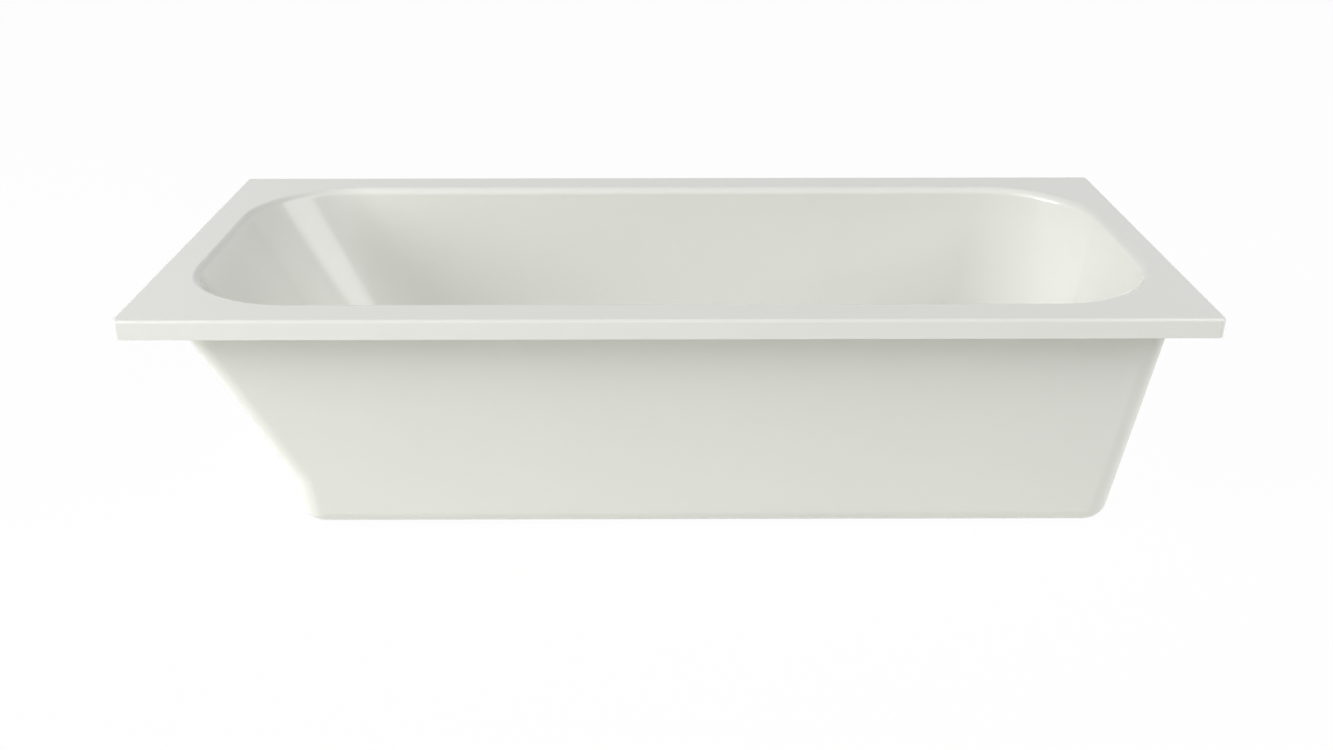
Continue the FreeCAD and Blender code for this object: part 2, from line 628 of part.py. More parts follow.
def cross_bar(label, x):
    """Folded steel channel, open upwards, lips against the board."""
    body = new_subpart(label, x)
    web = "bar_web/2"
    lip = "(bar_web/2 + bar_lip)"
    inner = "(bar_web/2 - bar_wall)"
    right = [(web, BAR_BOTTOM), (web, BOARD_BOTTOM + " - bar_wall"), (lip, BOARD_BOTTOM + " - bar_wall"),
             (lip, BOARD_BOTTOM), (inner, BOARD_BOTTOM), (inner, BAR_BOTTOM + " + bar_wall")]
    left = [("-" + x_right, z) for x_right, z in reversed(right)]
    section = draw(body, label + "_section", "XZ_Plane", [right + left])
    extrude("Pad", section, "2*" + BAR_END, "Symmetric")
    bend(body, label, "y", "bar_wall", [(web, BAR_BOTTOM), (inner, BOARD_BOTTOM)],
         [(inner, BAR_BOTTOM + " + bar_wall"), (web, BOARD_BOTTOM + " - bar_wall")])
    stay = "(%s - stay_inset - stay_foot/2)" % BAR_END
    holes = [("0", side + FOOT_Y, "stud_radius + stud_hole_gap") for side in ("-", "")]
    holes += [("0", side + stay, "screw_radius + pilot_gap") for side in ("-", "")]
    holes += [(way + "(bar_web/2 + bar_lip/2)", side + BAR_SCREW_Y, "screw_radius + screw_gap")
              for way in ("-", "") for side in ("-", "")]
    drilled = draw(body, label + "_holes", "XY_Plane", circles=holes, lift=BAR_BOTTOM + " - bar_wall")
    extrude("Pocket", drilled, "bar_depth + 2*bar_wall", flip=True)


def bend(body, label, axis, wall, outside, inside):
    """Round the folds of a sheet-metal section that runs along an axis, given their corners on one side."""
    for name, corners, radius in (("outside", outside, "bend_inside + " + wall),
                                  ("inside", inside, "bend_inside")):
        places = [(number(across), number(height)) for across, height in corners]

        def wanted(edge):
            along = direction(edge)
            middle = edge.CenterOfMass
            run, across = (along.y, middle.x) if axis == "y" else (along.x, middle.y)
            return abs(run) > 0.99 and any(same(abs(across), a) and same(middle.z, z) for a, z in places)
        round_edges(body, "%s_bends_%s" % (label, name), radius, wanted)


def casing_stays():
    """Folded straps from the bars down to the casing's ledge, four of them."""
    body = new_subpart("casing_stays")
    body.AllowCompound = True
    web = "(%s - stay_inset)" % BAR_END
    ledge = "(casing_lift + casing_wall)"
    outer = web + " + stay_wall"
    tips = (web + " - stay_foot", outer + " + stay_foot")
    under = BAR_BOTTOM + " - stay_wall"
    over = ledge + " + stay_wall"
    back = [(tips[0], BAR_BOTTOM), (outer, BAR_BOTTOM), (outer, over), (tips[1], over), (tips[1], ledge),
            (web, ledge), (web, under), (tips[0], under)]
    front = [("-(%s)" % y, z) for y, z in reversed(back)]
    for end, sign in (("head", "-"), ("foot", "")):
        sketch = draw(body, "stays_" + end, "YZ_Plane", [back, front], lift=sign + BAR_X)
        extrude("Pad", sketch, "stay_width", "Symmetric")
    bend(body, "stay", "x", "stay_wall", [(outer, BAR_BOTTOM), (web, ledge)], [(web, under), (outer, over)])
    upper = [(x, y, "screw_radius + screw_gap") for x, y in stay_screw_places("(-stay_foot/2)")]
    lower = [(x, y, "screw_radius + pilot_gap") for x, y in stay_screw_places("(stay_wall + stay_foot/2)")]
    holes = draw(body, "stay_holes", "XY_Plane", circles=upper + lower)
    extrude("Pocket", holes, "rim_height", flip=True)


def foot_places():
    """Name, X and Y of each levelling foot."""
    return [("%s_%s" % (end, side), x + BAR_X, y + FOOT_Y)
            for end, x in (("head", "-"), ("foot", "")) for side, y in (("front", "-"), ("back", ""))]


def hexagon(x, y, flats):
    return [("%s + %s/sqrt(3)*cos(%d)" % (x, flats, angle), "%s + %s/sqrt(3)*sin(%d)" % (y, flats, angle))
            for angle in range(0, 360, 60)]


def foot_nuts(label, bottom, thickness):
    """A hexagon nut on each levelling stud."""
    body = new_subpart(label)
    body.AllowCompound = True
    places = [(x, y) for name, x, y in foot_places()]
    sketch = draw(body, label + "_plan", "XY_Plane", [hexagon(x, y, "nut_flats") for x, y in places],
                  [(x, y, "stud_radius + thread_gap") for x, y in places], bottom)
    extrude("Pad", sketch, thickness)


def levelling_foot(name, x, y):
    """A pad and the stud that stands in it, with a hexagon to turn it by."""
    pad = new_subpart("foot_pad_" + name, x, y)
    turn("Revolution", draw(pad, "pad_half_" + name, "XZ_Plane", [[
        ("0", "0"), ("pad_radius", "0"), ("pad_radius", "pad_rim"), ("pad_top", "pad_height"),
        ("stud_radius", "pad_height"), ("stud_radius", "pad_sole"), ("0", "pad_sole")]]))
    stud = new_subpart("foot_stud_" + name, x, y)
    rod = draw(stud, "stud_" + name, "XY_Plane", circles=[("0", "0", "stud_radius")], lift="pad_sole")
    extrude("Pad", rod, BOARD_BOTTOM + " - stud_room - pad_sole")
    grip = draw(stud, "stud_grip_" + name, "XY_Plane", [hexagon("0", "0", "grip_flats")], lift="pad_height")
    extrude("Pad", grip, "grip_thick")


def ring(label, plane, low, high, inner, outer, axis, x, z="0"):
    """A flat ring round the waste's upright axis or the outlet's level one."""
    body = new_subpart(label, x, "0", z)
    corners = rectangle(inner, outer, low, high) if axis == "V_Axis" else rectangle(low, high, inner, outer)
    turn("Revolution", draw(body, label + "_half", plane, [corners]), axis)


def waste():
    """Waste ring with its spider, screwed into the trap through the acrylic."""
    edge = "(waste_radius - gasket_inset)"
    ring("waste_gasket", "XZ_Plane", RECESS_FLOOR, RING_BOTTOM, edge + " - gasket_width", edge,
         "V_Axis", WASTE_X)
    ring("trap_gasket", "XZ_Plane", TRAP_TOP, RECESS_BACK, "drain_hole", "trap_flange - gasket_inset",
         "V_Axis", WASTE_X)
    body = new_subpart("waste_flange", WASTE_X)
    bore = "(tail_radius - tail_wall)"
    turn("Revolution", draw(body, "waste_half", "XZ_Plane", [[
        (bore, TAIL_BOTTOM), ("tail_radius", TAIL_BOTTOM), ("tail_radius", RING_BOTTOM),
        ("waste_radius", RING_BOTTOM), ("waste_radius", RING_TOP + " - ring_bevel"),
        ("waste_radius - ring_bevel", RING_TOP), (bore + " + ring_bevel", RING_TOP),
        (bore, RING_TOP + " - ring_bevel")]]))
    reach = "(tail_radius - tail_wall/2)"
    hub_bottom = HUB_TOP + " - hub_height"
    for name, half_x, half_y in (("spoke_x", reach, "spoke_width/2"), ("spoke_y", "spoke_width/2", reach)):
        spoke = draw(body, name, "XY_Plane", [rectangle("-" + half_x, half_x, "-" + half_y, half_y)],
                     lift=hub_bottom)
        extrude("Pad", spoke, "hub_height")
    hub = draw(body, "hub", "XY_Plane", circles=[("0", "0", "hub_radius")], lift=hub_bottom)
    extrude("Pad", hub, "hub_height")
    seat = draw(body, "hub_bore", "XY_Plane", circles=[("0", "0", LATCH_RADIUS + " + fit_gap")],
                lift=TAIL_BOTTOM)
    extrude("Pocket", seat, "tail_length", flip=True)


def trap():
    """Low trap: a bowl with a hanging neck, a ledge for the dip tube and a threaded outlet."""
    body = new_subpart("trap_body", WASTE_X)
    shoulder = FLANGE_BOTTOM + " - trap_shoulder"
    turn("Revolution", draw(body, "trap_half", "XZ_Plane", [[
        ("0", "trap_lift"), ("trap_radius", "trap_lift"), ("trap_radius", shoulder),
        ("trap_flange", FLANGE_BOTTOM), ("trap_flange", TRAP_TOP), ("0", TRAP_TOP)]]))
    round_edges(body, "trap_bottom_edge", "trap_round", bottom_edge(body))
    outlet = draw(body, "outlet", "XZ_Plane", circles=[("0", "outlet_height", "outlet_radius")],
                  lift="-outlet_start")
    extrude("Pad", outlet, "outlet_end - outlet_start", flip=True)
    bowl = "(trap_radius - trap_wall)"
    roof = FLANGE_BOTTOM + " - trap_wall"
    neck = "(tail_radius + fit_gap)"
    neck_outside = neck + " + trap_wall"
    seat_bottom = SEAT_TOP + " - trap_seat"
    above = TRAP_TOP + " + trap_wall"
    turn("Groove", draw(body, "trap_hollow", "XZ_Plane", [[
        ("0", "trap_lift + trap_wall"), (bowl, "trap_lift + trap_wall"), (bowl, shoulder + " - trap_wall/2"),
        ("trap_flange - trap_wall/2", roof), (neck_outside, roof), (neck_outside, seat_bottom),
        ("seat_radius", seat_bottom), ("seat_radius", SEAT_TOP), (neck, SEAT_TOP), (neck, above),
        ("0", above)]]))
    bore = draw(body, "outlet_bore_circle", "XZ_Plane", circles=[("0", "outlet_height", "outlet_bore")],
                lift="-outlet_start")
    extrude("Pocket", bore, "outlet_end")
    pipe_seat = ("0", "outlet_height", "pipe_radius + fit_gap")
    socket = draw(body, "outlet_socket", "XZ_Plane", circles=[pipe_seat],
                  lift="-(outlet_end - socket_depth)")
    extrude("Pocket", socket, "2*socket_depth")

    insert = new_subpart("trap_insert", WASTE_X)
    inside = "(dip_radius - dip_wall)"
    turn("Revolution", draw(insert, "dip_half", "XZ_Plane", [[
        (inside, "dip_end"), ("dip_radius", "dip_end"), ("dip_radius", SEAT_TOP), ("tail_radius", SEAT_TOP),
        ("tail_radius", SEAT_TOP + " + collar_thick"), (inside, SEAT_TOP + " + collar_thick")]]))


def outlet_pipe():
    """Washer, nut and the pipe that leads out of the casing's back to a socket."""
    ring("outlet_washer", "YZ_Plane", "outlet_end", "outlet_end + washer_thick", "pipe_radius",
         "outlet_radius", "H_Axis", WASTE_X, "outlet_height")
    nut = new_subpart("outlet_nut", WASTE_X, "0", "outlet_height")
    end = "(outlet_end + washer_thick + outlet_nut_lip)"
    start = end + " - outlet_nut_length"
    lip = end + " - outlet_nut_lip"
    thread = "outlet_radius + fit_gap"
    mouth = "pipe_radius + fit_gap"
    turn("Revolution", draw(nut, "nut_half", "YZ_Plane", [[
        (start, thread), (start, "outlet_nut_radius"), (end, "outlet_nut_radius"), (end, mouth),
        (lip, mouth), (lip, thread)]]),
         "H_Axis")
    flutes = [("outlet_nut_radius*cos(%d)" % angle, "outlet_nut_radius*sin(%d)" % angle, "nut_flute")
              for angle in range(15, 360, 30)]
    grip = draw(nut, "nut_flutes", "XZ_Plane", circles=flutes, lift="-(%s - outlet_nut_lip/2)" % end)
    extrude("Pocket", grip, "outlet_nut_length", flip=True)
    pipe = new_subpart("waste_pipe", WASTE_X, "0", "outlet_height")
    start = "outlet_end - socket_depth"
    mouth = "(%s - mouth_depth)" % PIPE_END
    bore = "pipe_radius - pipe_wall"
    socket = "pipe_radius + mouth_gap"
    bell = socket + " + mouth_wall"
    turn("Revolution", draw(pipe, "pipe_half", "YZ_Plane", [[
        (start, bore), (start, "pipe_radius"), (mouth + " - 2*mouth_wall", "pipe_radius"),
        (mouth + " - mouth_wall", bell), (PIPE_END, bell), (PIPE_END, socket), (mouth, socket),
        (mouth, bore)]]),
         "H_Axis")


def plug():
    """Push-to-open plug, shut: cap, seal and stem, and the latch sleeve that stays in the spider."""
    cap = new_subpart("plug_cap", WASTE_X)
    disc = draw(cap, "cap_disc", "XY_Plane", circles=[("0", "0", "cap_radius")], lift=CAP_BOTTOM)
    extrude("Pad", disc, "cap_thick")
    top = number(CAP_BOTTOM + " + cap_thick")
    round_edges(cap, "cap_edge", "cap_round", lambda edge: level(edge, top))
    ring("plug_seal", "XZ_Plane", CAP_BOTTOM + " - plug_seal_thick", CAP_BOTTOM, "plug_seal_inner",
         "plug_seal_outer", "V_Axis", WASTE_X)
    stem = new_subpart("plug_stem", WASTE_X)
    low = CAP_BOTTOM + " - stem_length"
    rod = draw(stem, "stem_rod", "XY_Plane", circles=[("0", "0", "stem_radius")], lift=low)
    extrude("Pad", rod, "stem_length")
    stop = draw(stem, "stem_stop", "XY_Plane", circles=[("0", "0", "stem_head")], lift=low)
    extrude("Pad", stop, "stem_head_thick")
    sleeve = new_subpart("plug_latch", WASTE_X)
    bore = "(stem_radius + stem_gap)"
    collar_top = HUB_TOP + " + latch_collar"
    bottom = collar_top + " - latch_length"
    turn("Revolution", draw(sleeve, "latch_half", "XZ_Plane", [[
        (bore, bottom), (LATCH_RADIUS, bottom), (LATCH_RADIUS, HUB_TOP), ("hub_radius", HUB_TOP),
        ("hub_radius", collar_top), (bore, collar_top)]]))


bath_shell()
outer_casing()
rim_battens()
screws("casing_screws", [(casing_screw_places(), FLANGE_TOP + " - casing_wall", "casing_screw_length")])
base_board()
cross_bar("cross_bar_head", "-" + BAR_X)
cross_bar("cross_bar_foot", BAR_X)
screws("bar_screws", [(bar_screw_places(), BOARD_BOTTOM + " - bar_wall", "bar_screw_length")])
casing_stays()
screws("stay_screws", [
    (stay_screw_places("(-stay_foot/2)"), BAR_BOTTOM + " - stay_wall", "stay_screw_length"),
    (stay_screw_places("(stay_wall + stay_foot/2)"), "casing_lift", "stay_screw_length")])
foot_nuts("foot_nuts", BAR_BOTTOM + " + bar_wall", "nut_thick")
foot_nuts("foot_locknuts", BAR_BOTTOM + " - locknut_thick", "locknut_thick")
for foot_name, foot_x, foot_y in foot_places():
    levelling_foot(foot_name, foot_x, foot_y)
waste()
trap()
outlet_pipe()
plug()

doc.recompute()
for item in doc.Objects:
    if "Invalid" in item.State or "Error" in item.State:
        raise RuntimeError("%s is %s" % (item.Name, item.State))
for part in subparts:
    if part.Shape.isNull() or not part.Shape.isValid():
        raise RuntimeError("%s has no valid shape" % part.Label)

os.makedirs("parts", exist_ok=True)
for part in subparts:
    part.Shape.exportStep("parts/%s.step" % part.Label)
    print("%-24s %2d solid(s) %12.1f mm3" % (part.Label, len(part.Shape.Solids), part.Shape.Volume))
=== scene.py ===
"""Alcove bathtub, dressed: acrylic shell and outer casing, rim battens, base board,
cross bars, levelling feet, waste ring, plug, trap and waste pipe.

The shapes follow the sizes below, which are the part's own. Lengths are in metres.
"""

import bmesh
import bpy
from math import cos, hypot, pi, radians, sin, sqrt, tan
from mathutils import Matrix, Vector


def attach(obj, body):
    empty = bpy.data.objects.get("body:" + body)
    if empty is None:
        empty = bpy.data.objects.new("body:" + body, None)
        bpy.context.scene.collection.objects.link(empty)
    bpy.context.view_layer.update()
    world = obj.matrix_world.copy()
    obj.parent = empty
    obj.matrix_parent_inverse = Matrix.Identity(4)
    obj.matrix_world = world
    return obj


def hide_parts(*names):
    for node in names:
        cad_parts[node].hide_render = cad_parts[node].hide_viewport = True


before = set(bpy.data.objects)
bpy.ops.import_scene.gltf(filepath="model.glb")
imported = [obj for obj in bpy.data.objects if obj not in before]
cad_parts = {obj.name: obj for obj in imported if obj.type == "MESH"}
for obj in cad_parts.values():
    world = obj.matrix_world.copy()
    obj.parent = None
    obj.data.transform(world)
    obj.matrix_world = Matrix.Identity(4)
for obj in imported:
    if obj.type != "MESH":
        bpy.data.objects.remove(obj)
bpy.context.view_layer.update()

bl_info = {
    "name": "Alcove bathtub",
    "version": (1, 0, 0),
    "blender": (4, 5, 0),
    "location": "View3D > Sidebar > Bathtub",
    "description": "Builds an alcove bathtub piece by piece, with its finishes and its stage",
    "category": "Mesh",
}

MM = 0.001
TINY = 0.0005 * MM      # radius of a ring that stands for a point on the axis
SLIM = 0.05 * MM        # a face further than this from a plane lies beside it
NEAR = 0.5 * MM         # a face nearer than this to a plane lies in it
PAST = 10 * MM          # how far rough forms and cutters reach past what they shape
BASE = 20 * MM          # bottom of the shell's block, until the skirt is cut to its depth
ROUGH = (0.5, 0.2)      # half length and half width of a block, until its corners are moved
BEND = 0.02             # radians by which a surface turns at a slight bend,
CORNER = 0.5            # where two forms meet
SHARP = 0.8             # and at an upright edge of a block


# ------------------------------------------------------------ sizes and colours

def length(name, millimetres, description):
    return bpy.props.FloatProperty(name=name, description=description, default=millimetres * MM,
                                   min=0.0, unit="LENGTH", precision=4)


def slope(name, degrees, description):
    return bpy.props.FloatProperty(name=name, description=description, default=radians(degrees),
                                   min=0.0, max=radians(60), unit="ROTATION", subtype="ANGLE")


def linear(code):
    """An sRGB hex colour as three linear channels."""
    channels = [int(code[i:i + 2], 16) / 255 for i in (1, 3, 5)]
    return [c / 12.92 if c <= 0.04045 else ((c + 0.055) / 1.055) ** 2.4 for c in channels]


def colour(name, code, description):
    return bpy.props.FloatVectorProperty(name=name, description=description, default=linear(code),
                                         size=3, min=0.0, max=1.0, subtype="COLOR")


class ShellSizes(bpy.types.PropertyGroup):
    rim_length: length("Rim length", 1700, "Rim, along X")
    rim_width: length("Rim width", 750, "Rim, along Y")
    rim_height: length("Rim height", 423, "Floor to the rim's top")
    rim_corner: length("Rim corners", 10, "Radius of the rim's corners in plan")
    rim_edge: length("Rim edge", 5.5, "Rounding of the rim's top edge")
    skirt_depth: length("Skirt", 32, "Depth of the skirt round the rim")
    wall: length("Acrylic", 5, "Thickness of the acrylic")
    side_margin: length("Side margin", 74, "Rim's edge to the long walls")
    head_margin: length("Head margin", 66, "Rim's edge to the backrest")
    foot_margin: length("Foot margin", 54, "Rim's edge to the foot-end wall")
    side_draft: slope("Side draft", 4, "Long walls, from upright")
    head_lean: slope("Backrest lean", 27.25, "Backrest, from upright")
    foot_lean: slope("Foot-end lean", 8, "Foot-end wall, from upright")
    floor_level: length("Basin floor", 78, "Basin floor's lowest edge above the ground")
    floor_slope: slope("Floor fall", 0.45, "Basin floor, falling to the foot end")
    head_corner: length("Head corners", 170, "Basin's upright corners at the head")
    foot_corner: length("Foot corners", 185, "Basin's upright corners at the foot")
    floor_round: length("Floor rounding", 50, "Basin's walls to its floor")
    rim_roll: length("Rim roll", 15, "Rim to the basin's walls")
    waste_inset: length("Waste inset", 260, "Rim's foot edge to the waste's axis")
    recess_depth: length("Recess depth", 4, "Waste recess under the floor's lowest edge")
    recess_radius: length("Recess radius", 42, "Waste recess")
    recess_round: length("Recess rounding", 2.5, "Floor to the waste recess")
    drain_hole: length("Drain hole", 25.5, "Radius of the hole in the acrylic")


class CasingSizes(bpy.types.PropertyGroup):
    wall: length("Casing wall", 4, "Thickness of the outer casing")
    side_gap: length("Side gap", 5.7, "Acrylic to casing, long walls")
    head_gap: length("Head gap", 12.8, "Acrylic to casing, head")
    foot_gap: length("Foot gap", 4.4, "Acrylic to casing, foot")
    lift: length("Casing lift", 4, "Casing's bottom above the ground")
    plinth_height: length("Plinth height", 92, "Plinth under the backrest")
    plinth_lean: slope("Plinth lean", 5.5, "Plinth's end, from upright")
    plinth_round: length("Plinth rounding", 22, "Backrest to plinth")
    corner: length("Casing corners", 44, "Casing's upright corners")
    foot_round: length("Bottom rounding", 35, "Casing's bottom edge")
    batten_thick: length("Battens", 18, "Rim battens, in Z")
    flange_gap: length("Flange gap", 3, "Casing's flange to the skirt")
    flange_corner: length("Flange corners", 6, "Casing's flange, corners in plan")
    flange_root: length("Flange root", 6, "Casing's wall to its flange")
    ledge: length("Ledge", 34, "Casing's bottom flange, past its rounded edge")
    ledge_corner: length("Opening corners", 60, "Opening in the casing's bottom")
    pipe_hole: length("Pipe hole", 26, "Radius of the waste pipe's way out")


class FootSizes(bpy.types.PropertyGroup):
    inset_x: length("Foot inset, ends", 450, "Rim's ends to the feet's axes")
    inset_y: length("Foot inset, sides", 195, "Rim's long edges to the feet's axes")
    pad_radius: length("Pad radius", 25, "Foot pads")
    pad_rim: length("Pad edge", 4, "Foot pads' edge, in Z")
    pad_height: length("Pad height", 10, "Foot pads, in Z")
    pad_top: length("Pad top", 12, "Foot pads' radius at the top")
    pad_sole: length("Pad sole", 3, "Pad under the stud")
    stud_radius: length("Stud radius", 5, "Levelling studs")
    stud_top: length("Stud top", 49, "Studs' tops above the ground")
    thread_pitch: length("Thread pitch", 1.5, "Levelling studs' thread")
    grip_flats: length("Stud hexagon", 13, "Across flats")
    grip_thick: length("Stud hexagon height", 5, "In Z")
    nut_flats: length("Nut flats", 17, "Foot nuts across flats")
    nut_bottom: length("Nut bottom", 37, "Welded nuts above the ground")
    nut_thick: length("Nut", 8, "Welded nuts' thickness")
    locknut_bottom: length("Locknut bottom", 29, "Locknuts above the ground")
    locknut_thick: length("Locknut", 6, "Locknuts' thickness")
    pad_gap: length("Pad gap", 0.2, "Stud to the hole in its pad")
    pad_hollow: length("Pad hollows", 6, "Radius of the grip hollows round the pad")


class ScrewSizes(bpy.types.PropertyGroup):
    shank: length("Shank radius", 2.1, "Screws' shanks")
    head: length("Head radius", 4.2, "Screws' heads")
    head_thick: length("Head", 2.4, "Screws' heads, in Z")
    recess: length("Drive recess", 1.5, "Depth of the cross in the head")
    thread_pitch: length("Thread pitch", 1.8, "Screws' thread")
    casing_length: length("Casing screws", 18, "Under their heads")
    bar_length: length("Bar screws", 14, "Under their heads")
    stay_length: length("Stay screws", 9, "Under their heads")
    casing_inset: length("Casing screw inset", 250, "Rim's ends to the outermost screws of its long sides")
    side_inset: length("Side row inset", 27, "Rim's long edges to their row of screws")
    head_row: length("Head row", 823, "Middle to the row of screws at the head")
    end_inset: length("Foot row inset", 18, "Rim's foot edge to its row of screws")
    end_row_inset: length("End screw inset", 225, "Rim's long edges to the screws at the head and foot")
    bar_inset: length("Bar screw inset", 255, "Rim's long edges to the bars' screws")
    bar_offset: length("Bar screw offset", 27.5, "Bar's middle to its screws")
    bar_face: length("Bar flange", 53, "Underside of the bars' flanges above the ground")
    stay_upper: length("Upper stay screws", 226, "From the middle, along Y")
    stay_lower: length("Lower stay screws", 244, "From the middle, along Y")
    stay_face: length("Stay foot", 33, "Underside of the stays' upper feet above the ground")


class WasteSizes(bpy.types.PropertyGroup):
    ring_radius: length("Waste ring radius", 35, "Waste ring")
    ring_thick: length("Waste ring", 2.5, "Waste ring, in Z")
    ring_bevel: length("Waste ring bevel", 1.2, "Waste ring's edges")
    gasket_thick: length("Upper seal", 1.5, "Seal above the acrylic")
    gasket_width: length("Upper seal width", 7, "Seal above the acrylic")
    gasket_inset: length("Seal inset", 2, "Seals in from the rings that press them")
    lower_gasket: length("Lower seal", 2.5, "Seal below the acrylic")
    tail_radius: length("Tail radius", 24, "Waste's threaded tail")
    tail_wall: length("Tail wall", 3, "Waste's threaded tail")
    tail_length: length("Tail length", 20, "Waste's tail below its ring")
    hub_radius: length("Hub radius", 9.5, "Waste's spider")
    hub_height: length("Hub height", 6, "Waste's spider")
    hub_drop: length("Hub drop", 9, "Ring's top to the hub's top")
    spoke: length("Spokes", 2.6, "Waste's spider")
    trap_flange: length("Trap flange radius", 40, "Trap's top flange")
    trap_flange_thick: length("Trap flange", 3.5, "Trap's top flange")
    trap_radius: length("Trap radius", 52, "Trap's bowl")
    trap_lift: length("Trap lift", 14, "Trap's bottom above the ground")
    trap_round: length("Trap rounding", 10, "Trap's bottom edge")
    trap_shoulder: length("Trap shoulder", 8, "Trap's shoulder below its flange")
    dip_radius: length("Dip tube radius", 20.6, "Tube that hangs in the trap")
    dip_wall: length("Dip tube wall", 2, "Tube that hangs in the trap")
    dip_end: length("Dip tube end", 27, "Its end above the ground")
    collar_thick: length("Dip tube collar", 2, "Its collar, in Z")
    dip_seat: length("Dip tube seat", 53.3, "Ledge under the collar, above the ground")
    seat_radius: length("Seat hole", 21, "Radius of the hole in that ledge")
    trap_seat: length("Seat ledge", 2, "Ledge, in Z")
    trap_wall: length("Trap wall", 3, "Trap's wall")
    fit_gap: length("Fit", 0.2, "Between parts that screw or slide together")
    hub_bore: length("Hub bore", 7.2, "Radius of the hole in the spider's hub")
    tail_pitch: length("Waste threads", 2, "Pitch of the waste's and the outlet's threads")
    outlet_start: length("Outlet start", 30, "Outlet begins inside the bowl, from the waste's axis")
    outlet_height: length("Outlet height", 37, "Outlet's axis above the ground")
    outlet_radius: length("Outlet radius", 23, "Trap's threaded outlet")
    outlet_end: length("Outlet end", 78, "From the waste's axis")
    outlet_bore: length("Outlet bore", 17, "Radius inside the trap's outlet")
    washer_thick: length("Outlet washer", 4, "In Y")
    nut_radius: length("Outlet nut radius", 27.5, "Outlet nut")
    nut_length: length("Outlet nut", 23, "In Y")
    nut_lip: length("Outlet nut lip", 4, "In Y")
    nut_flute: length("Grip flutes", 2.2, "Radius of the outlet nut's grip flutes")
    pipe_radius: length("Pipe radius", 20, "Waste pipe")
    pipe_wall: length("Pipe wall", 2, "Waste pipe")
    pipe_start: length("Pipe start", 62, "Pipe's near end from the waste's axis")
    pipe_end: length("Pipe end", 335, "Pipe's far end from the middle")
    mouth_depth: length("Pipe socket", 32, "Depth of the socket at the pipe's end")
    mouth_gap: length("Pipe socket gap", 0.25, "Socket's wall to a pipe in it")
    mouth_wall: length("Pipe socket wall", 3, "Socket's wall")
    cap_radius: length("Plug radius", 32, "Plug's cap")
    cap_bottom: length("Plug height", 80.2, "Cap's underside above the ground when shut")
    cap_thick: length("Plug", 5, "Plug's cap, in Z")
    cap_round: length("Plug rounding", 4, "Plug's cap, top edge")
    seal_inner: length("Plug seal, inside", 14, "Plug's seal, inner radius")
    seal_outer: length("Plug seal, outside", 27, "Plug's seal, outer radius")
    seal_thick: length("Plug seal", 2, "Plug's seal, in Z")
    stem_radius: length("Stem radius", 4, "Plug's stem")
    stem_gap: length("Stem gap", 0.3, "Stem to the latch sleeve")
    stem_length: length("Stem length", 34, "Plug's stem below its cap")
    stem_head: length("Stem stop radius", 6, "Plug's stem, its stop")
    stem_head_thick: length("Stem stop", 2, "In Z")
    latch_wall: length("Latch wall", 2.7, "Latch sleeve")
    latch_length: length("Latch length", 12, "Latch sleeve")
    latch_collar: length("Latch collar", 2, "Latch sleeve's collar")


class Colours(bpy.types.PropertyGroup):
    acrylic: colour("Acrylic", "#EDEEE8", "White sanitary acrylic")
    casing: colour("Casing", "#E8E9E2", "White gel coat of the casing")
    spruce: colour("Spruce", "#C9A878", "Planed spruce battens")
    spruce_grain: colour("Spruce grain", "#A67C4B", "Late wood of the battens")
    chipboard: colour("Chipboard", "#B39468", "Faced chipboard of the base")
    zinc: colour("Zinc", "#A9ADB0", "Hot-dip galvanised steel")
    plated: colour("Zinc plate", "#B9B6A8", "Yellow-white zinc plate on fixings")
    pad: colour("Pad plastic", "#1B1B1D", "Moulded polypropylene")
    rubber: colour("Rubber", "#161617", "Moulded seals")
    chrome: colour("Chrome", "#CDD0D3", "Polished chrome plate")
    white_plastic: colour("White plastic", "#DDDDD8", "Moulded polypropylene of the trap")
    pipe: colour("Pipe", "#D6D6D1", "Extruded pipe")
    brass: colour("Brass", "#C8A45A", "Turned brass")
    ground: colour("Ground", "#F2F2F0", "Floor of the stage")


class StageSettings(bpy.types.PropertyGroup):
    eye: bpy.props.FloatVectorProperty(name="Camera", description="Camera's place", size=3,
                                       default=(-0.0086, -2.2384, 1.2012), subtype="TRANSLATION",
                                       unit="LENGTH")
    pitch: slope("Camera pitch", 25.034, "Camera, down from level")
    yaw: slope("Camera yaw", 0.136, "Camera, towards the foot end")
    roll: slope("Camera roll", 0.0625, "Camera, about its own line of sight")
    lens: bpy.props.FloatProperty(name="Lens", description="Focal length on a 36 mm wide sensor",
                                  default=35.90, min=1.0, unit="CAMERA")
    ground_size: length("Ground", 24000, "Side of the floor of the stage")
    aim: length("Lamps' aim", 250, "Height of the point that the lamps face")


PAPER_GLOW = 0.97       # how much of the paper's brightness is the backdrop's
SKY_LIGHT = 0.06        # strength at which the backdrop, seen at 1, lights the piece
# name, place and diameter in metres, power in watts
LAMPS = (("stage_key", (-5.6, -1.8, 2.2), 3.2, 262.0),
         ("stage_front", (-3.4, -2.6, 3.4), 3.2, 74.0),
         ("stage_fill", (4.6, -2.2, 4.0), 5.5, 238.0))


GROUPS = {"shell": ShellSizes, "casing": CasingSizes, "feet": FootSizes, "screws": ScrewSizes,
          "waste": WasteSizes, "colours": Colours, "stage": StageSettings}


def sizes(name):
    return getattr(bpy.context.scene, "bathtub_" + name)


# ------------------------------------------------------------- walls and levels

def inward(height, lean, skin):
    """How much further in a leaning wall lies at a height than at the rim, when skin moves it out."""
    return (sizes("shell").rim_height - height) * tan(lean) - skin / cos(lean)


def side_wall(height, skin=0.0):
    """Half the width between the long walls' planes at a height, moved out by skin."""
    s = sizes("shell")
    return s.rim_width / 2 - s.side_margin - inward(height, s.side_draft, skin)


